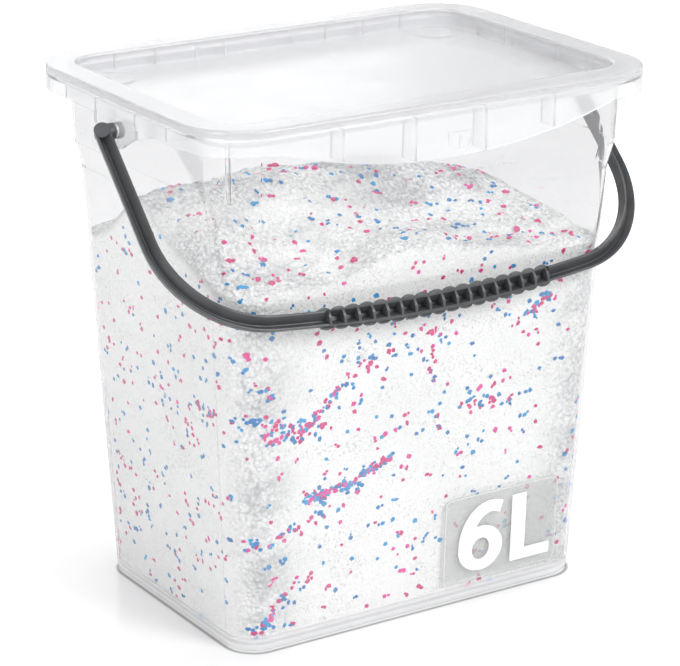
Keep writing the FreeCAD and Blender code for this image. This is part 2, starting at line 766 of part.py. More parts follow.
# Lobes round the back edge of the grip, one behind each rib, meeting just inside its edge.
LOBE_SINK = 0.25
sketch = grip_sketch("lobe_outline", -deep - 0.3)
for side in (1, -1):
    for k in range(cells + 1):
        x0 = -grip_half + (k - 0.5) * cell
        x1 = x0 + cell
        xm = (x0 + x1) / 2.0
        start = Vec(x0, grip_rise(x0) + side * (grip_half_height(x0) - LOBE_SINK), 0)
        peak = Vec(xm, grip_rise(xm) + side * (grip_half_height(xm) + SIZES["grip_lobe"]), 0)
        end = Vec(x1, grip_rise(x1) + side * (grip_half_height(x1) - LOBE_SINK), 0)
        sketch.addGeometry(Part.Arc(start, peak, end), False)
for x in (-grip_half - cell / 2.0, grip_half + cell / 2.0):
    h = grip_half_height(x) - LOBE_SINK
    sketch.addGeometry(Part.LineSegment(Vec(x, grip_rise(x) - h, 0), Vec(x, grip_rise(x) + h, 0)), False)
extrude(handle_body, "Pad", "grip_lobes", sketch, size("lobe_thick"))

# Each arm ends in a round head with a stub pin that turns in the lug.
lug_outside = size("rim_length") * 0.5
pin_start = lug_outside - 4.6
HEAD_PROUD = 0.15
turn = FreeCAD.Placement(
    Vec(top_x - (deep - 0.2) * math.sin(twist), 0, -(deep - 0.2) * math.cos(twist)),
    FreeCAD.Rotation(Vec(0, 1, 0), SIZES["arm_twist"]),
)
sketch = sketch_on(handle_body, "XZ_Plane", "head_outline", None, turn)
sketch.addGeometry(Part.Circle(Vec(0, 0, 0), Vec(0, 0, 1), half + HEAD_PROUD), False)
head = extrude(handle_body, "Pad", "head", sketch, size("arm_depth") - 0.2 + HEAD_PROUD)
sketch = sketch_on(handle_body, "YZ_Plane", "boss_outline", lug_outside + 0.4)
sketch.addGeometry(Part.Circle(Vec(0, 0, 0), Vec(0, 0, 1), SIZES["pin_radius"] + 0.6), False)
boss = extrude(handle_body, "Pad", "boss", sketch, size("bail_top_half") - lug_outside - 2.2)
sketch = sketch_on(handle_body, "YZ_Plane", "pin_outline", pin_start)
sketch.addGeometry(Part.Circle(Vec(0, 0, 0), Vec(0, 0, 1), SIZES["pin_radius"]), False)
index = sketch.addConstraint(Sketcher.Constraint("Radius", 0, SIZES["pin_radius"]))
set_size(sketch, index, "pin", size("pin_radius"))
pin = extrude(handle_body, "Pad", "pin", sketch, size("bail_top_half") - pin_start - 2.2)
sketch = sketch_on(handle_body, "YZ_Plane", "barb_outline", pin_start)
sketch.addGeometry(Part.Circle(Vec(0, 0, 0), Vec(0, 0, 1), SIZES["pin_radius"] + 0.6), False)
barb = extrude(handle_body, "Pad", "pin_barb", sketch, 2.0)
mirrored(handle_body, "other_pivot", [head, boss, pin, barb], "YZ_Plane")
handle_body.Placement = FreeCAD.Placement(
    Vec(0, 0, pivot_z),
    FreeCAD.Rotation(Vec(1, 0, 0), -SIZES["swing"]),
)
handle_body.Label = "handle"

# ---------------------------------------------------------------- powder
powder_body = body_named("powder_block")
gap = size("fill_gap")
fill = eased_levels(powder_body, "fill_", size("floor_height") + gap, size("floor_edge"), wall + gap)
FILL_TOP = SIZES["nest_height"] - 3.0
share = FILL_TOP / SIZES["nest_height"]
inward = (wall + gap) * 2
sketch = sketch_on(powder_body, "XY_Plane", "fill_top", as_link(FILL_TOP))
rounded_rect(
    sketch,
    size("base_length") + (size("nest_length") - size("base_length")) * share - inward,
    size("base_width") + (size("nest_width") - size("base_width")) * share - inward,
    size("base_corner") + (size("nest_corner") - size("base_corner")) * share - inward * 0.5,
    "top",
)
fill.append(sketch)
doc.recompute()
loft(powder_body, "AdditiveLoft", "fill", fill)
sketch = sketch_on(powder_body, "XY_Plane", "heap_outline", as_link(FILL_TOP - 0.5))
rounded_rect(
    sketch,
    size("nest_length") - (wall + gap) * 2 - 0.8,
    size("nest_width") - (wall + gap) * 2 - 0.8,
    size("nest_corner") - wall - gap - 0.4,
    "heap",
)
extrude(powder_body, "Pad", "heap_block", sketch, 17.0)
doc.recompute()

# Mounds of the poured heap: centre x, centre y, height, reach along x, reach along y.
MOUNDS = (
    (-42.0, 10.0, 30.0, 46.0, 40.0),
    (24.0, 24.0, 22.0, 40.0, 34.0),
    (70.0, 18.0, 11.0, 34.0, 40.0),
    (-84.0, -26.0, 14.0, 26.0, 30.0),
    (0.0, -60.0, 12.5, 44.0, 30.0),
    (-98.0, 10.0, 19.0, 30.0, 24.0),
)
# Slips where the powder has run down a little: middle x, middle y, bearing of the
# downhill side in degrees, half width, drop and how far it takes to level out again.
SLIPS = (
    (-52.0, -34.0, -70.0, 24.0, 4.0, 16.0),
    (-42.0, -52.0, -25.0, 16.0, 3.2, 12.0),
    (-28.0, -12.0, -90.0, 50.0, 3.2, 14.0),
    (-14.0, -2.0, -80.0, 36.0, 2.2, 9.0),
    (24.0, -46.0, -58.0, 24.0, 3.4, 14.0),
    (74.0, -38.0, -95.0, 34.0, 3.0, 16.0),
    (52.0, -8.0, -75.0, 30.0, 2.4, 12.0),
    (-92.0, -8.0, -110.0, 18.0, 2.6, 12.0),
    (10.0, 52.0, 85.0, 44.0, 2.6, 14.0),
    (-70.0, 48.0, 100.0, 26.0, 2.4, 12.0),
)
SLIP_FACE = 2.4
LEVEL = SIZES["nest_height"] - 32.5


def powder_height(x, y):
    height = LEVEL
    for cx, cy, rise_by, rx, ry in MOUNDS:
        height += rise_by * math.exp(-(((x - cx) / rx) ** 2) - ((y - cy) / ry) ** 2)
    for cx, cy, bearing, reach_to, drop, level_out in SLIPS:
        down = math.radians(bearing)
        ahead = (x - cx) * math.cos(down) + (y - cy) * math.sin(down)
        aside = (y - cy) * math.cos(down) - (x - cx) * math.sin(down)
        ahead += 2.2 * math.sin(aside / 7.0 + cx)
        fallen = drop * 0.5 * (1.0 + math.tanh(ahead / SLIP_FACE)) * math.exp(-((aside / reach_to) ** 2))
        height -= fallen * math.exp(-max(ahead, 0.0) / level_out)
    height += 0.9 * math.sin(x / 9.0 + 1.0) * math.cos(y / 8.0)
    return height


GRID_X = 25
GRID_Y = 18
grid = []
step_x = SIZES["rim_length"] / (2.0 * GRID_X)
step_y = SIZES["rim_width"] / (2.0 * GRID_Y)
for i in range(-GRID_X, GRID_X + 1):
    x = i * step_x
    grid.append([Vec(x, j * step_y, powder_height(x, j * step_y)) for j in range(-GRID_Y, GRID_Y + 1)])
surface = Part.BSplineSurface()
surface.interpolate(grid)
above = surface.toShape().extrude(Vec(0, 0, 90))
cutter = doc.addObject("Part::Feature", "heap_cutter")
cutter.Shape = above
powder = doc.addObject("Part::Cut", "PowderCut")
powder.Base = powder_body
powder.Tool = cutter
powder.Label = "washing_powder"

# ---------------------------------------------------------------- label
label_body = body_named("capacity_label")
tilt = math.degrees(math.atan2((SIZES["nest_width"] - SIZES["base_width"]) / 2.0, SIZES["nest_height"]))
label_x = SIZES["label_left"] + SIZES["label_length"] / 2.0
label_z = SIZES["label_bottom"] + SIZES["label_height"] / 2.0
label_y = -SIZES["base_width"] / 2.0 - slope_width * label_z / 2.0 - 0.02
lean_back = FreeCAD.Rotation(Vec(1, 0, 0), 90.0 + tilt)
label_place = FreeCAD.Placement(Vec(label_x, label_y, label_z), lean_back)
sketch = sketch_on(label_body, "XY_Plane", "label_outline", None, label_place)
rounded_rect(sketch, size("label_length"), size("label_height"), size("label_corner"), "label")
extrude(label_body, "Pad", "label_plate", sketch, size("label_thick"))

doc.recompute()

# ---------------------------------------------------------------- check and export
faults = []
for obj in doc.Objects:
    if "Invalid" in obj.State or "Error" in obj.State:
        faults.append("%s: %s" % (obj.Label, obj.State))
PIECES = (tub, lid, handle_body, powder, label_body)
os.makedirs("parts", exist_ok=True)
for piece in PIECES:
    shape = piece.Shape
    if shape.isNull() or not shape.isValid():
        faults.append("%s: bad shape" % piece.Label)
        continue
    box = shape.BoundBox
    volume = shape.Volume / 1000.0
    ends = (box.XMin, box.XMax, box.YMin, box.YMax, box.ZMin, box.ZMax)
    print("%-16s solids %d volume %.1f cm3" % (piece.Label, len(shape.Solids), volume), end=" ")
    print("box %.1f..%.1f %.1f..%.1f %.1f..%.1f" % ends)
if faults:
    raise RuntimeError("; ".join(faults))
for piece in PIECES:
    piece.Shape.exportStep("parts/%s.step" % piece.Label)
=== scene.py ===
"""Looks of a clear pail of washing powder with a press-on lid and a swinging bail handle.

The tub, lid and handle keep their solids and get their plastics. The powder's solid is
replaced by a granular heap with blue and pink speckles. The capacity label gets its
raised figure and letter and a thin border.
"""

import logging
import math
import random
from dataclasses import dataclass, replace
from enum import Enum
from functools import cached_property

import bmesh
import bpy
from mathutils import Matrix, Vector, noise


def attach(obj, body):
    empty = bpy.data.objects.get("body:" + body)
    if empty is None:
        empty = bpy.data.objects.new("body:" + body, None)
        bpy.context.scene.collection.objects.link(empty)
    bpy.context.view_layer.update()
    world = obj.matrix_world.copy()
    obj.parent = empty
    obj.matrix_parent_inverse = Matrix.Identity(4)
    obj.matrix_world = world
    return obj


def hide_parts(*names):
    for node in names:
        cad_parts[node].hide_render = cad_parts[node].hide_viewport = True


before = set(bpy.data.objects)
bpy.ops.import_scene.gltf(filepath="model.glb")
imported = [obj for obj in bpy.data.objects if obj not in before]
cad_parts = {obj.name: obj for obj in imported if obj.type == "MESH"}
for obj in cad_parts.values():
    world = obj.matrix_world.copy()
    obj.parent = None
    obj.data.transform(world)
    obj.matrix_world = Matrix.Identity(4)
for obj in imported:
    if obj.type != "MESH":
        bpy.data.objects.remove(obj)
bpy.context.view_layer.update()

MM = 0.001
CARRIER = "pail"    # the body that every new piece rides on
LOG = logging.getLogger("pail")
logging.basicConfig(level=logging.INFO, format="%(name)s: %(message)s")

Colour = tuple[float, float, float, float]
Triple = tuple[float, float, float]
Owner = bpy.types.Material | bpy.types.World
Socket = bpy.types.NodeSocket
Feed = Socket | float | tuple


class Measure(Enum):
    """What a clear piece's haze goes by."""

    HEIGHT = "height above the floor"
    OUTWARD = "distance outward from the rim's corner centres"


class Bed(Enum):
    """Where on the powder a granule lies."""

    WALL = "pressed flat against the wall"
    HEAP = "loose on top of the heap"


class Ray(Enum):
    """Kinds of light ray that a finish tells apart."""

    CAMERA = "Is Camera Ray"
    SHADOW = "Is Shadow Ray"
    DIFFUSE = "Is Diffuse Ray"
    GLOSSY = "Is Glossy Ray"
    THROUGH = "Is Transmission Ray"


# ------------------------ outlines
@dataclass(frozen=True)
class Section:
    """A rounded rectangle across the pail, in millimetres."""

    length: float
    width: float
    corner: float

    def core(self) -> tuple[float, float]:
        """Return the half sides of the rectangle through the corners' centres, in metres."""
        return (self.length / 2 - self.corner) * MM, (self.width / 2 - self.corner) * MM

    def inward(self, gap: float) -> "Section":
        """Return the outline a gap further in."""
        return Section(self.length - 2 * gap, self.width - 2 * gap, self.corner - gap)

    def girth(self) -> float:
        """Return the length of the outline."""
        return 2 * (self.length + self.width) - (8 - 2 * math.pi) * self.corner

    def point(self, u: float, v: float) -> tuple[float, float]:
        """Map a square's point onto the rounded rectangle.

        Args:
            u: Place along the length, -1 to 1.
            v: Place along the width, -1 to 1.

        Returns:
            The point's x and y.
        """
        x, y = u * self.length / 2, v * self.width / 2
        flat_x, flat_y = self.length / 2 - self.corner, self.width / 2 - self.corner
        over_x, over_y = abs(x) - flat_x, abs(y) - flat_y
        if over_x > 0 and over_y > 0:
            pull = max(over_x, over_y) / math.hypot(over_x, over_y)
            x = math.copysign(flat_x + over_x * pull, x)
            y = math.copysign(flat_y + over_y * pull, y)
        return x, y

    def edge(self, way: float) -> tuple[Vector, Vector]:
        """Return a point of the outline and its outward direction.

        Args:
            way: Share of the way round, 0 to 1, from the middle of the right end.

        Returns:
            The point and the outward unit vector, both with z of 0.
        """
        flat_x, flat_y = self.length - 2 * self.corner, self.width - 2 * self.corner
        arc = math.pi * self.corner / 2
        runs = (flat_y / 2, arc, flat_x, arc, flat_y, arc, flat_x, arc, flat_y / 2)
        left = way * sum(runs)
        heading, place = 0.0, Vector((self.length / 2, 0.0, 0.0))
        for k, run in enumerate(runs):
            step = min(left, run)
            ahead = Vector((-math.sin(heading), math.cos(heading), 0.0))
            out = Vector((math.cos(heading), math.sin(heading), 0.0))
            if k % 2 == 0:
                place = place + ahead * step
            else:
                centre = place - out * self.corner
                heading += step / self.corner
                out = Vector((math.cos(heading), math.sin(heading), 0.0))
                place = centre + out * self.corner
            left -= step
            if left <= 0:
                return place, out
        return place, Vector((1.0, 0.0, 0.0))


@dataclass(frozen=True)
class PailShape:
    """The tub's outside, in millimetres, which the powder, the label and the finishes go by."""

    base: Section = Section(183.0, 124.0, 14.5)
    nest: Section = Section(204.0, 140.5, 16.0)
    rim: Section = Section(232.0, 168.0, 28.5)
    nest_height: float = 196.0

    def section(self, z: float) -> Section:
        """Return the tapered body's outline at a height.

        Args:
            z: Height in millimetres. Past the nesting shoulder it counts as the shoulder.

        Returns:
            The outline.
        """
        share = min(z, self.nest_height) / self.nest_height
        return Section(
            self.base.length + (self.nest.length - self.base.length) * share,
            self.base.width + (self.nest.width - self.base.width) * share,
            self.base.corner + (self.nest.corner - self.base.corner) * share,
        )

    def front_tilt(self) -> float:
        """Return how far the front wall leans outward, in radians."""
        return math.atan2((self.nest.width - self.base.width) / 2, self.nest_height)


PAIL = PailShape()


# ------------------------ node helpers
@dataclass(frozen=True)
class Mottle:
    """A soft noise on the object coordinates, read between two limits.

    Cells are per metre. Low is the result at start, and high the result at stop.
    """

    cells: float
    octaves: float
    low: float = 0.0
    high: float = 1.0
    start: float = 0.3
    stop: float = 0.7
    stretch: Triple | None = None


@dataclass(frozen=True)
class Grain:
    """A fine relief: cells per metre, octaves, a full step's height in metres, and its share."""

    cells: float
    octaves: float
    height: float
    share: float = 1.0


class NodeDesk:
    """A node tree with short calls for adding and wiring nodes."""

    def __init__(self, owner: Owner, output: str = "OutputMaterial") -> None:
        """Clear the owner's node tree and give it an output.

        Args:
            owner: The material or world.
            output: Kind of the output node.
        """
        owner.use_nodes = True
        self.owner = owner
        self.tree: bpy.types.NodeTree = owner.node_tree
        self.tree.nodes.clear()
        self.out = self.add(output)

    def feed(self, value: Feed, target: Socket) -> None:
        """Link a socket to an input, or set the input to a plain value.

        Args:
            value: Socket, number or colour.
            target: The input.
        """
        if isinstance(value, Socket):
            self.tree.links.new(value, target)
        else:
            target.default_value = value

    def add(self, kind: str, inputs: dict[int, Feed] | None = None, **values: object) -> bpy.types.Node:
        """Add a node, set its properties and feed its inputs.

        Args:
            kind: Node type without the ShaderNode prefix.
            inputs: Values of inputs that share their names, by their places.
            values: Property names, or input names with spaces as underscores.

        Returns:
            The new node.
        """
        node = self.tree.nodes.new("ShaderNode" + kind)
        for key, value in values.items():
            if hasattr(node, key):
                setattr(node, key, value)
            else:
                self.feed(value, node.inputs[key.replace("_", " ")])
        for place, value in (inputs or {}).items():
            self.feed(value, node.inputs[place])
        return node

    def maths(self, operation: str, *values: Feed, clamp: bool = False) -> Socket:
        """Return the result of a sum, product or the like on numbers."""
        return self.add("Math", dict(enumerate(values)), operation=operation, use_clamp=clamp).outputs[0]

    def vectors(self, operation: str, *values: Feed) -> Socket:
        """Return the result of a sum or the like on vectors."""
        return self.add("VectorMath", dict(enumerate(values)), operation=operation).outputs[0]

    def length(self, vector: Socket) -> Socket:
        """Return a vector's length."""
        return self.add("VectorMath", {0: vector}, operation="LENGTH").outputs["Value"]

    def mixed(self, factor: Feed, first: Feed, second: Feed) -> Socket:
        """Return a number between two, by a factor."""
        return self.add("Mix", {0: factor, 2: first, 3: second}, data_type="FLOAT").outputs[0]

    def blended(self, factor: Feed, first: Feed, second: Feed) -> Socket:
        """Return a colour between two, by a factor."""
        return self.add("Mix", {0: factor, 6: first, 7: second}, data_type="RGBA").outputs[2]

    def shared(self, factor: Feed, first: Socket, second: Socket) -> Socket:
        """Return a shader between two, by a factor."""
        return self.add("MixShader", {0: factor, 1: first, 2: second}).outputs[0]

    @cached_property
    def path(self) -> bpy.types.Node:
        """Return the tree's one node that tells rays apart."""
        return self.add("LightPath")

    def ray(self, kind: Ray) -> Socket:
        """Return the socket that is 1 for a kind of ray and 0 for others."""
        return self.path.outputs[kind.value]

    def coordinates(self) -> Socket:
        """Return the object coordinates, in metres."""
        return self.add("TexCoord").outputs["Object"]

    def height(self) -> Socket:
        """Return the height above the floor, in metres."""
        return self.add("SeparateXYZ", Vector=self.coordinates()).outputs["Z"]

    def stretched(self, factors: Triple) -> Socket:
        """Return the object coordinates scaled along each axis."""
        return self.add("Mapping", Vector=self.coordinates(), Scale=factors).outputs["Vector"]

    def outward(self, core: tuple[float, float]) -> Socket:
        """Return the level distance outward from a rectangle about the middle.

        Args:
            core: Half length and half width of the rectangle, in metres.

        Returns:
            The distance's socket, 0 inside the rectangle.
        """
        folded = self.vectors("ABSOLUTE", self.stretched((1.0, 1.0, 0.0)))
        past = self.vectors("SUBTRACT", folded, (*core, 0.0))
        return self.length(self.vectors("MAXIMUM", past, (0.0, 0.0, 0.0)))

    def ranged(self, value: Socket, low: float, high: float, start: float, stop: float) -> Socket:
        """Return a value read from start to stop as low to high, and held there past them."""
        limits = {"From_Min": start, "From_Max": stop, "To_Min": low, "To_Max": high}
        return self.add("MapRange", Value=value, **limits).outputs["Result"]

    def noise(self, cells: float, octaves: float, where: Socket | None = None) -> Socket:
        """Return a noise by cells per metre and octaves, on the object coordinates or others given."""
        node = self.add("TexNoise", Scale=cells, Detail=octaves, Vector=where or self.coordinates())
        return node.outputs["Fac"]

    def mottled(self, mottle: Mottle) -> Socket:
        """Lay out a mottle's nodes.

        Args:
            mottle: The mottle.

        Returns:
            Its value's socket.
        """
        where = self.stretched(mottle.stretch) if mottle.stretch else None
        value = self.noise(mottle.cells, mottle.octaves, where)
        return self.ranged(value, mottle.low, mottle.high, mottle.start, mottle.stop)

    def bumped(self, height: Socket, step: float, share: float, under: Socket | None = None) -> Socket:
        """Return a bump's normal by a full step in metres and its share, over another bump if given."""
        below = {} if under is None else {"Normal": under}
        return self.add("Bump", Strength=share, Distance=step, Height=height, **below).outputs["Normal"]

    def grained(self, grain: Grain) -> Socket:
        """Return the normal of a fine relief."""
        return self.bumped(self.noise(grain.cells, grain.octaves), grain.height, grain.share)

    def finish(self, shader: Socket) -> Owner:
        """Wire the last shader to the output and return the owner."""
        self.feed(shader, self.out.inputs["Surface"])
        return self.owner


def material_desk(name: str) -> NodeDesk:
    """Return the desk of a new, empty material."""
    return NodeDesk(bpy.data.materials.new(name))


# ------------------------ finishes
@dataclass(frozen=True)
class Haze:
    """Where a clear piece turns hazy: from a place with none to a place with all of it, in metres."""

    measure: Measure
    none: float
    full: float
    clarity: float
    rough: float
    tint: Colour


@dataclass(frozen=True)
class MouldedClear:
    """Natural polypropylene that light passes through, clear or hazy."""

    name: str
    tint: Colour
    clarity: float
    sheen: Mottle
    flow: Grain
    shadow: float
    hazes: tuple[Haze, ...] = ()
    gloss: float = 0.35
    ior: float = 1.49

    def measured(self, desk: NodeDesk, measure: Measure) -> Socket:
        """Return the height, or the distance outward from the rim's corner centres."""
        return desk.height() if measure is Measure.HEIGHT else desk.outward(PAIL.rim.core())

    def build(self) -> bpy.types.Material:
        """Make the plastic: a refracting body that lets lamps through to what it holds.

        Returns:
            The material.
        """
        desk = material_desk(self.name)
        clarity, tint = self.clarity, self.tint
        rough = desk.mottled(self.sheen)
        for haze in self.hazes:
            share = desk.ranged(self.measured(desk, haze.measure), 0.0, 1.0, haze.none, haze.full)
            clarity = desk.mixed(share, clarity, haze.clarity)
            tint = desk.blended(share, tint, haze.tint)
            rough = desk.maths("MULTIPLY_ADD", share, haze.rough, rough)
        shader = desk.add(
            "BsdfPrincipled", Base_Color=tint, Roughness=rough, IOR=self.ior, Transmission_Weight=clarity,
            Specular_IOR_Level=self.gloss, Normal=desk.grained(self.flow),
        )
        veil = desk.add("BsdfTransparent", Color=(self.shadow, self.shadow, self.shadow, 1.0))
        either = desk.maths("MAXIMUM", desk.ray(Ray.SHADOW), desk.ray(Ray.DIFFUSE))
        return desk.finish(desk.shared(either, shader.outputs[0], veil.outputs[0]))


@dataclass(frozen=True)
class TwoTone:
    """A finish that wanders between two colours, with its own sheen and grain."""

    name: str
    first: Colour
    second: Colour
    cloud: Mottle
    sheen: Mottle
    grain: Grain | None = None
    ior: float = 1.5
    gloss: float = 0.5
    cover: float = 1.0

    def build(self) -> bpy.types.Material:
        """Make the finish. A cover under 1 lets what lies behind show through.

        Returns:
            The material.
        """
        desk = material_desk(self.name)
        colour = desk.blended(desk.mottled(self.cloud), self.first, self.second)
        shader = desk.add(
            "BsdfPrincipled", Base_Color=colour, Roughness=desk.mottled(self.sheen), IOR=self.ior,
            Specular_IOR_Level=self.gloss, Alpha=self.cover,
        )
        if self.grain:
            desk.feed(desk.grained(self.grain), shader.inputs["Normal"])
        return desk.finish(shader.outputs[0])


@dataclass(frozen=True)
class PowderWhite:
    """White washing powder: packed smooth against the wall, loose and granular on top, with painted shade
    between the granules on top.
    """

    name: str = "white_powder"
    packed: Colour = (0.96, 0.96, 0.955, 1.0)
    speck: Colour = (0.56, 0.56, 0.565, 1.0)
    crest: Colour = (0.97, 0.97, 0.97, 1.0)
    # painted shade in the gaps between the granules on the heap
    granule_gap_shade: Colour = (0.43, 0.435, 0.45, 1.0)
    granules: float = 620.0       # cells per metre
    # reads the distance from the granules' centres as painted shade in their gaps
    gap: tuple[float, float, float, float] = (0.0, 0.6, 0.36, 0.90)    # low, high, start, stop
    drift: Mottle = Mottle(26.0, 5.0, 0.0, 0.5, 0.46, 0.60, (1.0, 1.0, 1.8))
    clump: Mottle = Mottle(420.0, 3.0, 0.0, 0.55, 0.46, 0.72)
    crumb: Mottle = Mottle(1150.0, 3.0, 0.0, 1.1, 0.53, 0.68)
    patch: Mottle = Mottle(34.0, 4.0, 0.45, 1.1, 0.46, 0.66, (1.0, 1.0, 2.4))
    cloud: Mottle = Mottle(20.0, 3.0, 0.0, 0.12, 0.46, 0.66)
    lumps: Grain = Grain(420.0, 4.0, 0.0011, 0.8)
    granule_height: float = 0.0013
    granule_share: float = 0.9
    wall_relief: float = 0.25     # share of the granules' relief that is left at the wall
    dullness: float = 0.92
    gloss: float = 0.15

    def build(self) -> bpy.types.Material:
        """Make the powder, told apart by the skin attribute: 0 at the wall, 1 on the heap.

        Returns:
            The material.
        """
        desk = material_desk(self.name)
        skin = desk.add("Attribute", attribute_name="skin").outputs["Fac"]
        cells = desk.add("TexVoronoi", Scale=self.granules, feature="F1", Vector=desk.coordinates())
        away = cells.outputs["Distance"]
        # painted shade: darker towards the edges of each granule cell, plus random grey drifts
        grey = desk.maths("ADD", desk.ranged(away, *self.gap), desk.mottled(self.drift))
        total = desk.maths("ADD", grey, desk.mottled(self.clump), clamp=True)
        crumbs = desk.maths("MULTIPLY", desk.mottled(self.crumb), desk.mottled(self.patch))
        mark = desk.maths("ADD", crumbs, desk.mottled(self.cloud), clamp=True)
        still = desk.blended(mark, self.packed, self.speck)
        # the heap's colour: white crests, and painted shade in the gaps
        loose = desk.blended(total, self.crest, self.granule_gap_shade)
        domes = desk.ranged(away, 1.0, 0.0, 0.0, 1.0)
        rise = desk.maths("MULTIPLY", domes, desk.ranged(skin, self.wall_relief, 1.0, 0.0, 1.0))
        relief = desk.bumped(rise, self.granule_height, self.granule_share, desk.grained(self.lumps))
        shader = desk.add(
            "BsdfPrincipled", Base_Color=desk.blended(skin, still, loose), Roughness=self.dullness,
            Specular_IOR_Level=self.gloss, Normal=relief,
        )
        return desk.finish(shader.outputs[0])


COLLAR_HAZE = Haze(
    Measure.OUTWARD, none=0.021, full=0.024, clarity=0.76, rough=0.11, tint=(0.90, 0.904, 0.912, 1.0),
)
FOOT_HAZE = Haze(
    Measure.HEIGHT, none=0.009, full=0.003, clarity=0.28, rough=0.20, tint=(0.94, 0.942, 0.95, 1.0),
)
CLEAR = MouldedClear(
    "clear_polypropylene", tint=(0.864, 0.864, 0.868, 1.0), clarity=0.97, shadow=0.97,
    sheen=Mottle(38.0, 4.0, 0.0, 0.03), flow=Grain(22.0, 2.0, 0.00007), hazes=(COLLAR_HAZE, FOOT_HAZE),
)
HAZY = MouldedClear(
    "hazy_polypropylene", tint=(0.79, 0.794, 0.806, 1.0), clarity=0.75, shadow=0.93,
    sheen=Mottle(38.0, 4.0, 0.20, 0.26), flow=Grain(22.0, 2.0, 0.00002),
)
SATIN_GREY = TwoTone(
    "satin_dark_grey", (0.046, 0.049, 0.053, 1.0), (0.070, 0.073, 0.078, 1.0),
    cloud=Mottle(90.0, 5.0), sheen=Mottle(240.0, 3.0, 0.30, 0.46),
    grain=Grain(2600.0, 2.0, 0.00005, 0.5), ior=1.49,
)
BLUE = TwoTone(
    "blue_granule", (0.0, 0.17, 0.46, 1.0), (0.0, 0.33, 0.68, 1.0),
    cloud=Mottle(170.0, 3.0, 0.0, 1.0, 0.44, 0.62), sheen=Mottle(170.0, 3.0, 0.65, 0.9),
    grain=Grain(1800.0, 2.0, 0.0002, 0.6), gloss=0.2,
)
PINK = replace(BLUE, name="pink_granule", first=(0.60, 0.004, 0.16, 1.0), second=(0.78, 0.05, 0.34, 1.0))
GREY_FILM = TwoTone(
    "grey_film", (0.70, 0.725, 0.705, 1.0), (0.76, 0.78, 0.765, 1.0),
    cloud=Mottle(60.0, 3.0), sheen=Mottle(300.0, 2.0, 0.28, 0.4), ior=1.46, cover=0.27,
)
FILM_EDGE = replace(
    GREY_FILM, name="pale_film_edge", first=(0.80, 0.81, 0.80, 1.0), second=(0.86, 0.87, 0.86, 1.0),
    cover=0.6,
)
WHITE_PRINT = TwoTone(
    "white_print", (0.93, 0.93, 0.93, 1.0), (0.97, 0.97, 0.97, 1.0),
    cloud=Mottle(150.0, 3.0), sheen=Mottle(500.0, 2.0, 0.42, 0.55),
)


# ------------------------ mesh helpers
def placed(name: str, bm: bmesh.types.BMesh, finish: bpy.types.Material) -> bpy.types.Object:
    """Put a modelled piece in the scene with its finish.

    Args:
        name: Name of the piece.
        bm: Its mesh in the part's frame, in metres. It is freed here.
        finish: Its material.

    Returns:
        The new object, at the origin.
    """
    mesh = bpy.data.meshes.new(name)
    bm.to_mesh(mesh)
    bm.free()
    mesh.materials.append(finish)
    piece = bpy.data.objects.new(name, mesh)
    bpy.context.collection.objects.link(piece)
    return piece


def dressed(node: str, finish: bpy.types.Material) -> None:
    """Give a solid that is kept its finish.

    Args:
        node: Name of the solid.
        finish: Its material.
    """
    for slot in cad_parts[node].material_slots:
        slot.material = finish
    LOG.info("dressed %s as %s", node, finish.name)


def riding(piece: bpy.types.Object) -> bpy.types.Object:
    """Let a piece ride on the pail's body.

    Args:
        piece: The piece.

    Returns:
        The same piece.
    """
    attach(piece, CARRIER)
    LOG.info("%s rides on %s, %d faces", piece.name, CARRIER, len(piece.data.polygons))
    return piece


# ------------------------ tub, lid, handle
@dataclass
class Moulding:
    """A moulded piece that keeps its solid."""

    node: str
    finish: MouldedClear | TwoTone

    def dress(self) -> None:
        """Give the piece its plastic."""
        dressed(self.node, self.finish.build())


@dataclass
class ClearTub(Moulding):
    """The tapered clear pail."""

    node: str = "tub"
    finish: MouldedClear = CLEAR


@dataclass
class HazyLid(Moulding):
    """The press-on lid with its recessed panel."""

    node: str = "lid"
    finish: MouldedClear = HAZY


@dataclass
class BailHandle(Moulding):
    """The swinging handle with its ribbed grip."""

    node: str = "handle"
    finish: TwoTone = SATIN_GREY


# ------------------------ powder
@dataclass(frozen=True)
class Mound:
    """A rounded mound of the poured heap, in millimetres."""

    x: float
    y: float
    rise: float
    reach_x: float
    reach_y: float

    def height(self, x: float, y: float) -> float:
        """Return the mound's height over a point."""
        along, across = (x - self.x) / self.reach_x, (y - self.y) / self.reach_y
        return self.rise * math.exp(-(along ** 2) - across ** 2)


@dataclass(frozen=True)
class Slip:
    """A place where the powder has run down a little, in millimetres.

    The bearing of its downhill side is in degrees, and its edge wanders a little.
    """

    x: float
    y: float
    bearing: float
    reach: float
    drop: float
    level_out: float
    face: float = 2.4
    wander: float = 2.2
    wander_length: float = 7.0

    def fallen(self, x: float, y: float) -> float:
        """Return the share of the slip's drop at a point.

        Args:
            x: The point's x in millimetres.
            y: The point's y in millimetres.

        Returns:
            The share, 0 to 1.
        """
        down = math.radians(self.bearing)
        ahead = (x - self.x) * math.cos(down) + (y - self.y) * math.sin(down)
        aside = (y - self.y) * math.cos(down) - (x - self.x) * math.sin(down)
        ahead += self.wander * math.sin(aside / self.wander_length + self.x)
        step = 0.5 * (1.0 + math.tanh(ahead / self.face)) * math.exp(-((aside / self.reach) ** 2))
        return step * math.exp(-max(ahead, 0.0) / self.level_out)


@dataclass(frozen=True)
class Crumble:
    """One layer of the heap's loose relief: cell size and height in millimetres, and its slice of noise."""

    cell: float
    height: float
    slice: float

    def rise(self, x: float, y: float) -> float:
        """Return the layer's rise over a point."""
        return self.height * noise.noise(Vector((x / self.cell, y / self.cell, self.slice)))


@dataclass(frozen=True)
class Course:
    """A course of the heap's side: its share of the way down, and its turn under the foot in degrees."""

    down: float
    turn: float = 0.0


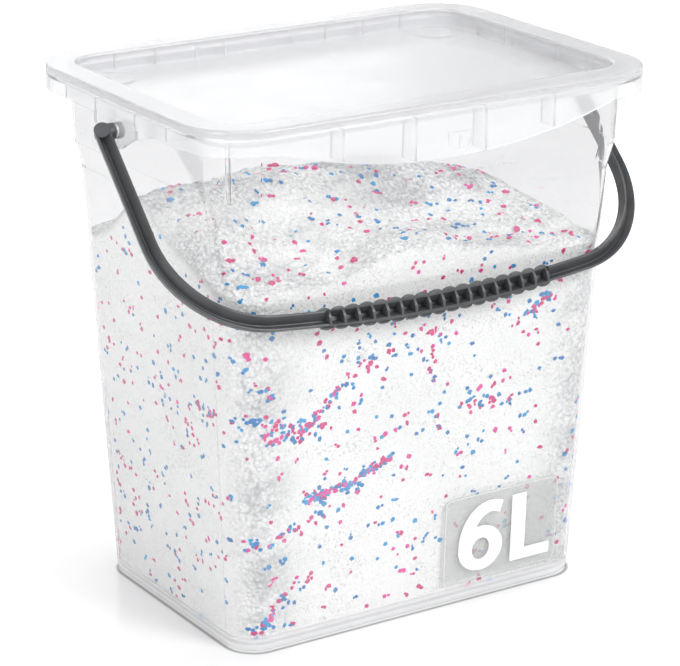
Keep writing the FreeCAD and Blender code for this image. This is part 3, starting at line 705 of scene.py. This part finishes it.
@dataclass
class PowderHeap:
    """The loose powder: a poured heap that fills the pail to its walls, in millimetres."""

    node: str = "washing_powder"
    clearance: float = 1.9
    floor: float = 4.0
    easing: float = 3.5
    easing_turns: tuple[float, ...] = (30.0, 60.0, 90.0)
    level: float = 163.5
    mean_rise: float = 10.0
    columns: int = 168
    rows: int = 116
    courses: int = 44
    mounds: tuple[Mound, ...] = (
        Mound(-42, 10, 30, 46, 40),
        Mound(24, 24, 22, 40, 34),
        Mound(70, 18, 11, 34, 40),
        Mound(-84, -26, 14, 26, 30),
        Mound(0, -60, 12.5, 44, 30),
        Mound(-98, 10, 19, 30, 24),
    )
    slips: tuple[Slip, ...] = (
        Slip(-52, -34, -70, 24, 4, 16),
        Slip(-42, -52, -25, 16, 3.2, 12),
        Slip(-28, -12, -90, 50, 3.2, 14),
        Slip(-14, -2, -80, 36, 2.2, 9),
        Slip(24, -46, -58, 24, 3.4, 14),
        Slip(74, -38, -95, 34, 3, 16),
        Slip(52, -8, -75, 30, 2.4, 12),
        Slip(-92, -8, -110, 18, 2.6, 12),
        Slip(10, 52, 85, 44, 2.6, 14),
        Slip(-70, 48, 100, 26, 2.4, 12),
    )
    crumbles: tuple[Crumble, ...] = (Crumble(2.1, 1.1, 1.7), Crumble(5.5, 1.3, 9.1))
    swell: float = 0.9
    swell_shift: float = 1.0
    swell_x: float = 9.0
    swell_y: float = 8.0
    edge_skin: float = 0.5
    # a slip makes the heap smoother and whiter; the white is a painted highlight on the slip faces
    slip_smooth_highlight_skin: float = 0.88      # how much of the loose skin a fresh slip loses
    # a greyer, granular band beside the corners of the long walls: granular relief and painted shade
    corner_shade_skin: float = 0.84      # looseness at its most, beside the corners of the long walls
    corner_shade_place: float = 9.0
    corner_shade_width: float = 15.0
    corner_shade_depth: float = 7.0

    def section(self, z: float, inset: float = 0.0) -> Section:
        """Return the fill's outline at a height, with an extra distance in from the wall."""
        return PAIL.section(z).inward(self.clearance + inset)

    def slip_smoothness_and_highlight(self, x: float, y: float) -> float:
        """Return how far the heap has slipped at a point: there it is smoother, and whiter with a painted
        highlight.
        """
        return min(1.0, sum(slip.fallen(x, y) for slip in self.slips))

    def height(self, x: float, y: float) -> float:
        """Return the heap's height over a point, without its loose relief.

        Args:
            x: The point's x.
            y: The point's y.

        Returns:
            The height.
        """
        rise = self.level
        for mound in self.mounds:
            rise += mound.height(x, y)
        for slip in self.slips:
            rise -= slip.drop * slip.fallen(x, y)
        wave = math.sin(x / self.swell_x + self.swell_shift)
        return rise + self.swell * wave * math.cos(y / self.swell_y)

    def grain(self, x: float, y: float) -> float:
        """Return the loose relief of the heap's skin over a point."""
        return sum(crumble.rise(x, y) for crumble in self.crumbles)

    def corner_looseness_and_shade(self, u: float, v: float) -> float:
        """Return the skin at a wall: looser and greyer, with painted shade, beside the corners of the long
        walls.

        Args:
            u: Place along the length, -1 to 1.
            v: Place along the width, -1 to 1.

        Returns:
            The skin's value.
        """
        aside = ((1.0 - abs(u)) * PAIL.base.length / 2 - self.corner_shade_place) / self.corner_shade_width
        end = (1.0 - abs(v)) * PAIL.base.width / 2 / self.corner_shade_depth
        return self.corner_shade_skin * math.exp(-(aside ** 2)) * math.exp(-(end ** 2))

    def courses_down(self) -> list[Course]:
        """Return the courses of the sides, from the heap down and round under the foot."""
        straight = [Course(k / self.courses) for k in range(1, self.courses + 1)]
        return straight + [Course(1.0, turn) for turn in self.easing_turns]

    def lowered(self, course: Course, top: float) -> tuple[float, float]:
        """Return where a course lies below a point of the heap's edge.

        Args:
            course: The course.
            top: Height of the heap's edge there.

        Returns:
            The course's height, and its distance in from the wall's line.
        """
        turn = math.radians(course.turn)
        foot = self.floor + self.easing
        z = top + (foot - top) * course.down - self.easing * math.sin(turn)
        return z, self.easing * (1 - math.cos(turn))

    def build(self) -> bpy.types.Object:
        """Model the heap and its sides down to the floor.

        Returns:
            The powder's piece.
        """
        bm = bmesh.new()
        skin = bm.verts.layers.float.new("skin")
        bmesh.ops.create_grid(bm, x_segments=self.columns, y_segments=self.rows, size=1.0)
        square = {v: (v.co.x, v.co.y) for v in bm.verts}
        middle = self.section(self.level + self.mean_rise)
        top: dict[bmesh.types.BMVert, float] = {}
        for v, spot in square.items():
            z = self.height(*middle.point(*spot))
            top[v] = z
            x, y = self.section(z).point(*spot)
            # slipped places get less loose skin: smoother relief and a painted highlight
            v[skin] = self.edge_skin if v.is_boundary else 1.0 - self.slip_smooth_highlight_skin * self.slip_smoothness_and_highlight(x, y)
            if not v.is_boundary:
                z += self.grain(x, y)
            v.co = Vector((x, y, z)) * MM
        ring = [e for e in bm.edges if e.is_boundary]
        for course in self.courses_down():
            known = {v for e in ring for v in e.verts}
            made = bmesh.ops.extrude_edge_only(bm, edges=ring)["geom"]
            fresh = [g for g in made if isinstance(g, bmesh.types.BMVert)]
            for v in fresh:
                old = next(e.other_vert(v) for e in v.link_edges if e.other_vert(v) in known)
                square[v], top[v] = square[old], top[old]
                z, inset = self.lowered(course, top[v])
                v.co = Vector((*self.section(z, inset).point(*square[v]), z)) * MM
                # painted shade and granular relief in a band beside the corners of the long walls
                v[skin] = self.corner_looseness_and_shade(*square[v])
            new = set(fresh)
            ring = [g for g in made if isinstance(g, bmesh.types.BMEdge) and set(g.verts) <= new]
        bmesh.ops.edgeloop_fill(bm, edges=ring)
        bmesh.ops.recalc_face_normals(bm, faces=bm.faces)
        for face in bm.faces:
            face.smooth = True
        piece = placed("powder_heap", bm, PowderWhite().build())
        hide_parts(self.node)
        return riding(piece)


@dataclass(frozen=True)
class Drift:
    """A band where coloured granules gather on the front or left wall, in millimetres.

    Its ends are distances along the wall from its middle, and heights.
    """

    start: tuple[float, float]
    stop: tuple[float, float]
    count: int
    spread: float
    on_left: bool = False
    deviation: float = 0.6        # share of the spread

    def spot(self, dice: random.Random) -> tuple[float, float]:
        """Pick a spot in the band.

        Args:
            dice: The random source.

        Returns:
            The distance along the wall, and the height.
        """
        share = dice.random()
        off = self.spread * self.deviation
        along, z = (a + (b - a) * share + dice.gauss(0, off) for a, b in zip(self.start, self.stop))
        return along, z


@dataclass(frozen=True)
class Spot:
    """Where a granule lies on the powder, in millimetres, and the direction out of it."""

    place: Vector
    out: Vector
    bed: Bed

    def aim(self) -> Matrix:
        """Return the turn that takes z to the direction out of the powder."""
        return self.out.to_track_quat("Z", "Y").to_matrix().to_4x4()


@dataclass
class Granules:
    """Coloured granules of one dye, scattered over the powder's skin, in millimetres."""

    name: str
    finish: TwoTone
    heap: PowderHeap
    seed: int
    scattered: int = 700
    on_heap: int = 150
    small: float = 0.95
    large: float = 1.95
    paired: float = 0.35
    pair_size: float = 0.65
    pair_reach: float = 1.25
    proud: float = 0.26
    lowest: float = 6.0
    highest: float = 186.0
    under_edge: float = 1.2
    heap_margin: float = 6.0
    flat_share: float = 0.32      # thickness of a granule at the wall, as a share of its width
    round_share: float = 0.8      # and on the heap
    sunk_share: float = 0.3
    uneven: float = 0.28
    wide: tuple[float, float] = (0.8, 1.2)
    deep: tuple[float, float] = (0.75, 1.1)
    full_turn: float = 6.28
    batch: int = 60
    drifts: tuple[Drift, ...] = (
        Drift((-97, 110), (-50, 100), 20, 4),
        Drift((-78, 99), (-58, 104), 12, 4.6),
        Drift((-56, 108), (-38, 120), 12, 4),
        Drift((-60, 68), (-38, 72), 26, 2.2),
        Drift((-40, 71), (-16, 80), 20, 1.8),
        Drift((20, 97), (50, 95), 12, 2.4),
        Drift((55, 134), (71, 144), 13, 2.4),
        Drift((-95, 50), (-48, 59), 14, 3.4),
        Drift((-82, 8), (-72, 24), 12, 3),
        Drift((-40, 127), (10, 132), 16, 8),
        Drift((-30, 113), (-48, 108), 7, 3, True),
    )

    def side_spot(self, z: float, way: float) -> Spot:
        """Return the spot on the sides at a height, a share of the way round."""
        place, out = self.heap.section(z).edge(way)
        return Spot(place + Vector((0.0, 0.0, z)), out, Bed.WALL)

    def wall_spot(self, dice: random.Random) -> Spot:
        """Pick a spot anywhere on the sides, up to above the heap."""
        return self.side_spot(dice.uniform(self.lowest, self.highest), dice.random())

    def drift_spot(self, dice: random.Random, drift: Drift) -> Spot:
        """Pick a spot in a drift.

        Args:
            dice: The random source.
            drift: The drift.

        Returns:
            The spot.
        """
        along, z = drift.spot(dice)
        z = max(self.lowest, z)
        turn = along / self.heap.section(z).girth()
        return self.side_spot(z, 0.5 - turn if drift.on_left else 0.75 + turn)

    def heap_spot(self, dice: random.Random) -> Spot:
        """Pick a spot on top of the heap.

        Args:
            dice: The random source.

        Returns:
            The spot.
        """
        shape = self.heap.section(self.heap.level)
        x = dice.uniform(-1, 1) * (shape.length / 2 - self.heap_margin)
        y = dice.uniform(-1, 1) * (shape.width / 2 - self.heap_margin)
        z = self.heap.height(x, y) + self.heap.grain(x, y)
        return Spot(Vector((x, y, z)), Vector((0.0, 0.0, 1.0)), Bed.HEAP)

    def covered(self, spot: Spot) -> bool:
        """Tell whether a spot on the sides is below the heap's edge."""
        return spot.place.z < self.heap.height(spot.place.x, spot.place.y) - self.under_edge

    def spots(self, dice: random.Random) -> list[Spot]:
        """Pick every spot: over the walls, in the drifts and on the heap.

        Args:
            dice: The random source.

        Returns:
            The spots.
        """
        scattered = [self.wall_spot(dice) for _ in range(self.scattered)]
        found = [spot for spot in scattered if self.covered(spot)]
        for drift in self.drifts:
            found += [self.drift_spot(dice, drift) for _ in range(drift.count)]
        return found + [self.heap_spot(dice) for _ in range(self.on_heap)]

    def build(self) -> bpy.types.Object:
        """Model every granule of this dye, batch by batch.

        Returns:
            The granules' piece.
        """
        dice = random.Random(self.seed)
        spots = self.spots(dice)
        whole, part = bmesh.new(), bmesh.new()
        held = bpy.data.meshes.new("granule_batch")
        for first in range(0, len(spots), self.batch):
            for spot in spots[first:first + self.batch]:
                self.granule(part, spot, dice)
            part.to_mesh(held)
            whole.from_mesh(held)
            part.clear()
        part.free()
        bpy.data.meshes.remove(held)
        return riding(placed(self.name, whole, self.finish.build()))

    def granule(self, bm: bmesh.types.BMesh, spot: Spot, dice: random.Random) -> None:
        """Add one granule, some with a smaller one against it.

        Args:
            bm: Mesh that takes it.
            spot: Where it lies.
            dice: The random source.
        """
        radius = dice.uniform(self.small, self.large)
        self.lump(bm, spot, radius, dice)
        if dice.random() < self.paired:
            way = spot.aim() @ Vector((dice.uniform(-1, 1), dice.uniform(-1, 1), 0.0)).normalized()
            beside = replace(spot, place=spot.place + way * radius * self.pair_reach)
            self.lump(bm, beside, radius * self.pair_size, dice)

    def lump(self, bm: bmesh.types.BMesh, spot: Spot, radius: float, dice: random.Random) -> None:
        """Add one uneven lump of a granule.

        Args:
            bm: Mesh that takes it.
            spot: Where it lies.
            radius: Its half width, in millimetres.
            dice: The random source.
        """
        thin, sink = self.flat_share, radius * self.flat_share - self.proud
        if spot.bed is Bed.HEAP:
            thin, sink = self.round_share, radius * self.sunk_share
        aim = spot.aim()
        spin = Matrix.Rotation(dice.uniform(0, self.full_turn), 4, "Z")
        shape = Matrix.Diagonal((dice.uniform(*self.wide), dice.uniform(*self.deep), thin, 1.0))
        centre = spot.place - (aim @ Vector((0.0, 0.0, 1.0))) * sink
        turned = aim @ shape @ spin
        ball = bmesh.ops.create_icosphere(bm, subdivisions=1, radius=radius * MM, matrix=turned)
        flat = aim.inverted()
        for v in ball["verts"]:
            side = flat @ v.co
            side.z = 0.0
            v.co += aim @ side * dice.uniform(-self.uneven, self.uneven) + centre * MM


# ------------------------ label
@dataclass(frozen=True)
class Oval:
    """An ellipse in the label's plane, in millimetres."""

    x: float
    y: float
    half_width: float
    half_height: float
    sides: int = 96

    def ring(self, bm: bmesh.types.BMesh) -> list[bmesh.types.BMEdge]:
        """Add the ellipse's outline.

        Args:
            bm: Mesh that takes it.

        Returns:
            Its edges.
        """
        made = bmesh.ops.create_circle(bm, segments=self.sides, radius=1.0, cap_ends=False)["verts"]
        for v in made:
            v.co = Vector((self.x + v.co.x * self.half_width, self.y + v.co.y * self.half_height, 0.0))
        return list({e for v in made for e in v.link_edges})


@dataclass(frozen=True)
class Panel:
    """An upright rectangle in the label's plane, in millimetres."""

    left: float
    right: float
    bottom: float
    top: float

    def face(self) -> bmesh.types.BMesh:
        """Make the rectangle's face.

        Returns:
            A new mesh that holds it.
        """
        bm = bmesh.new()
        bmesh.ops.create_grid(bm, x_segments=1, y_segments=1, size=0.5)
        for v in bm.verts:
            v.co.x = self.left + (v.co.x + 0.5) * (self.right - self.left)
            v.co.y = self.bottom + (v.co.y + 0.5) * (self.top - self.bottom)
        return bm


@dataclass
class CapacityLabel:
    """The grey film with a raised figure and letter for the capacity, in millimetres."""

    node: str = "capacity_label"
    film: Panel = Panel(13.5, 76.5, 9.5, 52.0)
    corner: float = 3.5
    thick: float = 0.4
    bedding: float = 0.02         # how far the signs sink into the film
    relief: float = 0.7
    bowl: Oval = Oval(33.5, 24.85, 12.05, 10.95)
    hole: Oval = Oval(33.6, 24.6, 4.9, 5.4)
    sweep_out: Oval = Oval(39.0, 27.0, 17.5, 20.6)
    sweep_in: Oval = Oval(39.0, 27.0, 10.3, 15.0)
    sweep_end: float = 72.0
    sweep_step: float = 0.03      # how far the sweep lies below the bowl
    letter: Panel = Panel(50.6, 72.4, 14.2, 47.2)
    stroke: float = 7.6
    foot: float = 5.3
    border_inset: float = 0.3
    border_width: float = 0.4
    border_thick: float = 0.12
    border_lift: float = 0.13
    corner_steps: int = 8

    def laid(self, name: str, bm: bmesh.types.BMesh, finish: bpy.types.Material) -> bpy.types.Object:
        """Lay a modelled sign on the film.

        Args:
            name: Name of the piece.
            bm: The sign in the label's plane, x right and y up its wall, in millimetres.
            finish: Its material.

        Returns:
            The sign's piece.
        """
        tilt = PAIL.front_tilt()
        across = Vector((1.0, 0.0, 0.0))
        up = Vector((0.0, -math.sin(tilt), math.cos(tilt)))
        out = across.cross(up)
        turn = Matrix((across, up, out)).transposed().to_4x4()
        front_low = Vector((0.0, -PAIL.base.width / 2, 0.0))
        lay = Matrix.Translation((front_low + out * (self.thick - self.bedding)) * MM) @ turn
        bmesh.ops.scale(bm, vec=(MM, MM, MM), verts=bm.verts)
        bmesh.ops.transform(bm, matrix=lay, verts=bm.verts)
        bmesh.ops.recalc_face_normals(bm, faces=bm.faces)
        return riding(placed(name, bm, finish))

    @staticmethod
    def thicken(bm: bmesh.types.BMesh, faces: list[bmesh.types.BMFace], rise: float) -> None:
        """Raise flat faces into a solid.

        Args:
            bm: The mesh.
            faces: Faces in the label's plane.
            rise: Height of the solid in millimetres.
        """
        made = bmesh.ops.extrude_face_region(bm, geom=faces, use_keep_orig=True)["geom"]
        lifted = [g for g in made if isinstance(g, bmesh.types.BMVert)]
        bmesh.ops.translate(bm, vec=(0.0, 0.0, rise), verts=lifted)

    @staticmethod
    def cut(bm: bmesh.types.BMesh, place: Vector, normal: Vector, clear: bool = False) -> None:
        """Cut the mesh along a plane, and clear the side that its normal points to if asked."""
        whole = bm.verts[:] + bm.edges[:] + bm.faces[:]
        bmesh.ops.bisect_plane(bm, geom=whole, plane_co=place, plane_no=normal, clear_outer=clear)

    def figure_six(self, finish: bpy.types.Material) -> None:
        """Model the figure: a round bowl with a hole, and a stroke that sweeps up from its left.

        Args:
            finish: Its material.
        """
        bm = bmesh.new()
        rings = self.bowl.ring(bm) + self.hole.ring(bm)
        self.thicken(bm, bmesh.ops.bridge_loops(bm, edges=rings)["faces"], self.relief)
        stroke = bmesh.new()
        rings = self.sweep_out.ring(stroke) + self.sweep_in.ring(stroke)
        bmesh.ops.bridge_loops(stroke, edges=rings)
        centre = Vector((self.sweep_out.x, self.sweep_out.y, 0.0))
        end = math.radians(self.sweep_end)
        self.cut(stroke, centre, Vector((0.0, -1.0, 0.0)), clear=True)
        self.cut(stroke, centre, Vector((math.sin(end), -math.cos(end), 0.0)), clear=True)
        self.thicken(stroke, stroke.faces[:], self.relief - self.sweep_step)
        held = bpy.data.meshes.new("stroke")
        stroke.to_mesh(held)
        stroke.free()
        bm.from_mesh(held)
        bpy.data.meshes.remove(held)
        self.laid("capacity_figure", bm, finish)

    def letter_l(self, finish: bpy.types.Material) -> None:
        """Model the letter: a rectangle cut into stem and foot, its empty quarter taken away.

        Args:
            finish: Its material.
        """
        bm = self.letter.face()
        inner = Vector((self.letter.left + self.stroke, self.letter.bottom + self.foot, 0.0))
        self.cut(bm, inner, Vector((1.0, 0.0, 0.0)))
        self.cut(bm, inner, Vector((0.0, 1.0, 0.0)))
        spare = [f for f in bm.faces if min((f.calc_center_median() - inner).xy) > 0]
        bmesh.ops.delete(bm, geom=spare, context="FACES")
        self.thicken(bm, bm.faces[:], self.relief)
        self.laid("capacity_letter", bm, finish)

    def border(self, finish: bpy.types.Material) -> None:
        """Model the thin border line just inside the film's edge.

        Args:
            finish: Its material.
        """
        inset = self.border_inset
        film = self.film
        bm = Panel(film.left + inset, film.right - inset, film.bottom + inset, film.top - inset).face()
        bmesh.ops.bevel(
            bm, geom=bm.verts[:], offset=self.corner - inset, affect="VERTICES",
            segments=self.corner_steps, profile=0.5, material=-1,
        )
        bmesh.ops.inset_region(
            bm, faces=bm.faces[:], thickness=self.border_width, use_even_offset=True, use_boundary=True,
        )
        core = max(bm.faces, key=lambda f: f.calc_area())
        bmesh.ops.delete(bm, geom=[core], context="FACES_ONLY")
        bmesh.ops.solidify(bm, geom=bm.faces[:], thickness=self.border_thick)
        bmesh.ops.translate(bm, vec=(0, 0, self.border_lift), verts=bm.verts)
        self.laid("label_border", bm, finish)

    def build(self) -> None:
        """Dress the film and add its signs and border."""
        dressed(self.node, GREY_FILM.build())
        white = WHITE_PRINT.build()
        self.figure_six(white)
        self.letter_l(white)
        self.border(FILM_EDGE.build())


# ------------------------ studio
@dataclass(frozen=True)
class Lamp:
    """A soft square lamp aimed at the pail."""

    name: str
    place: Triple
    size: float
    power: float
    target: Triple = (0.0, 0.0, 0.12)

    def build(self) -> None:
        """Hang the lamp."""
        light = bpy.data.lights.new(self.name, "AREA")
        light.shape = "SQUARE"
        light.size = self.size
        light.energy = self.power
        holder = bpy.data.objects.new(self.name, light)
        bpy.context.collection.objects.link(holder)
        holder.location = self.place
        aim = Vector(self.target) - Vector(self.place)
        holder.rotation_euler = aim.to_track_quat("-Z", "Y").to_euler()


@dataclass
class Studio:
    """Floor, light and camera, in metres."""

    floor_half: float = 6.0
    floor_colour: Colour = (0.82, 0.82, 0.825, 1.0)
    floor_sheen: float = 0.2
    floor_gloss: float = 0.3
    camera_place: Triple = (-0.66981, -1.035717, 0.536478)
    yaw: float = 32.49
    dip: float = 19.04
    roll: float = 0.13
    lens: float = 151.1
    film_width: float = 36.0
    shift: tuple[float, float] = (0.0232, 0.0146)
    clip: tuple[float, float] = (0.05, 30.0)
    ambient: float = 0.54
    sky: Colour = (0.982, 0.988, 0.994, 1.0)
    near_glow: float = 0.14       # the floor's own light by the pail, which keeps the shadow
    near_reach: float = 0.14
    far_glow: float = 0.58        # and further out, where it is white to the eye
    far_reach: float = 0.60
    through_glow: float = 0.30
    gloss_glow: float = 0.35
    low_grey: float = 0.66        # the world at floor level, as gloss and clear plastic see it
    grey_climb: float = 0.75
    # painted contact shadow: a dark line on the floor along the foot, with its place, its reach and the
    # light it leaves
    painted_shadow_edge: float = 0.0002  # the dark line lies this far out from the foot
    painted_shadow_reach: float = 0.0014
    painted_shadow_light: float = 0.30
    lamps: tuple[Lamp, ...] = (
        Lamp("key", (1.0, -2.2, 1.7), 1.1, 45.0),
        Lamp("fill", (-2.1, -0.9, 0.55), 1.6, 27.0),
        Lamp("top", (0.3, 0.1, 2.2), 1.0, 17.0),
        Lamp("back", (0.6, 2.2, 1.4), 1.8, 9.0),
    )

    def painted_contact_shadow(self, desk: NodeDesk) -> Socket:
        """Paint a shadow line on the floor along the foot, where little light reaches it.

        Args:
            desk: The floor's desk.

        Returns:
            The share of the floor's colour and glow that the painted shadow leaves.
        """
        line = PAIL.base.corner * MM + self.painted_shadow_edge
        past = desk.maths("SUBTRACT", desk.outward(PAIL.base.core()), line)
        return desk.ranged(desk.maths("ABSOLUTE", past), self.painted_shadow_light, 1.0, 0.0, self.painted_shadow_reach)

    def seen(self, desk: NodeDesk) -> Socket:
        """Tell rays by what they come through.

        Args:
            desk: The floor's desk.

        Returns:
            The socket that is 1 for rays straight from the eye, and less through or off the plastic.
        """
        most = desk.ray(Ray.CAMERA)
        for kind, glow in ((Ray.THROUGH, self.through_glow), (Ray.GLOSSY, self.gloss_glow)):
            most = desk.maths("MAXIMUM", most, desk.maths("MULTIPLY", desk.ray(kind), glow))
        return most

    def floor(self) -> None:
        """Lay the pale floor, which stays white to the eye but keeps the shadow, with a painted shadow line
        along the foot.
        """
        bm = bmesh.new()
        bmesh.ops.create_grid(bm, x_segments=1, y_segments=1, size=self.floor_half)
        desk = material_desk("pale_floor")
        # painted contact shadow: darkens the floor's colour and its glow along the foot
        unshadowed_share = self.painted_contact_shadow(desk)
        colour = desk.blended(unshadowed_share, (0.0, 0.0, 0.0, 1.0), self.floor_colour)
        shader = desk.add(
            "BsdfPrincipled", Base_Color=colour, Roughness=self.floor_sheen,
            Specular_IOR_Level=self.floor_gloss,
        )
        away = desk.length(desk.coordinates())
        glow = desk.ranged(away, self.near_glow, self.far_glow, self.near_reach, self.far_reach)
        power = desk.maths("MULTIPLY", desk.maths("MULTIPLY", self.seen(desk), glow), unshadowed_share)
        light = desk.add("Emission", Color=(1.0, 1.0, 1.0, 1.0), Strength=power)
        lifted = desk.add("AddShader", {0: shader.outputs[0], 1: light.outputs[0]})
        placed("floor", bm, desk.finish(lifted.outputs[0]))

    def world(self) -> None:
        """Set the even light round the pail and the white that gloss and clear plastic see."""
        desk = NodeDesk(bpy.data.worlds.new("studio"), "OutputWorld")
        even = desk.add("Background", Color=self.sky, Strength=self.ambient)
        climb = desk.ranged(desk.height(), self.low_grey, 1.0, 0.0, self.grey_climb)
        white = desk.add("Background", Color=climb, Strength=1.0)
        either = desk.maths("MAXIMUM", desk.ray(Ray.GLOSSY), desk.ray(Ray.THROUGH))
        bpy.context.scene.world = desk.finish(desk.shared(either, even.outputs[0], white.outputs[0]))

    def camera(self) -> None:
        """Set the camera in front of the left corner, looking down on the pail."""
        data = bpy.data.cameras.new("studio_camera")
        data.lens = self.lens
        data.sensor_width = self.film_width
        data.shift_x, data.shift_y = self.shift
        data.clip_start, data.clip_end = self.clip
        holder = bpy.data.objects.new("studio_camera", data)
        bpy.context.collection.objects.link(holder)
        yaw, dip, roll = (math.radians(a) for a in (self.yaw, self.dip, self.roll))
        ahead = Vector((math.sin(yaw) * math.cos(dip), math.cos(yaw) * math.cos(dip), -math.sin(dip)))
        right = Vector((math.cos(yaw), -math.sin(yaw), 0.0))
        up = right.cross(ahead)
        side = right * math.cos(roll) + up * math.sin(roll)
        head = up * math.cos(roll) - right * math.sin(roll)
        turn = Matrix((side, head, -ahead)).transposed().to_4x4()
        holder.matrix_world = Matrix.Translation(self.camera_place) @ turn
        bpy.context.scene.camera = holder

    def build(self) -> None:
        """Set up the whole studio."""
        self.floor()
        self.world()
        for lamp in self.lamps:
            lamp.build()
        self.camera()
        bpy.context.scene.view_settings.view_transform = "Standard"


def main() -> None:
    """Build and dress every piece in order."""
    Studio().build()
    ClearTub().dress()
    HazyLid().dress()
    BailHandle().dress()
    heap = PowderHeap()
    heap.build()
    Granules("blue_granules", BLUE, heap, 11).build()
    Granules("pink_granules", PINK, heap, 23).build()
    CapacityLabel().build()


if __name__ == "__main__":
    main()
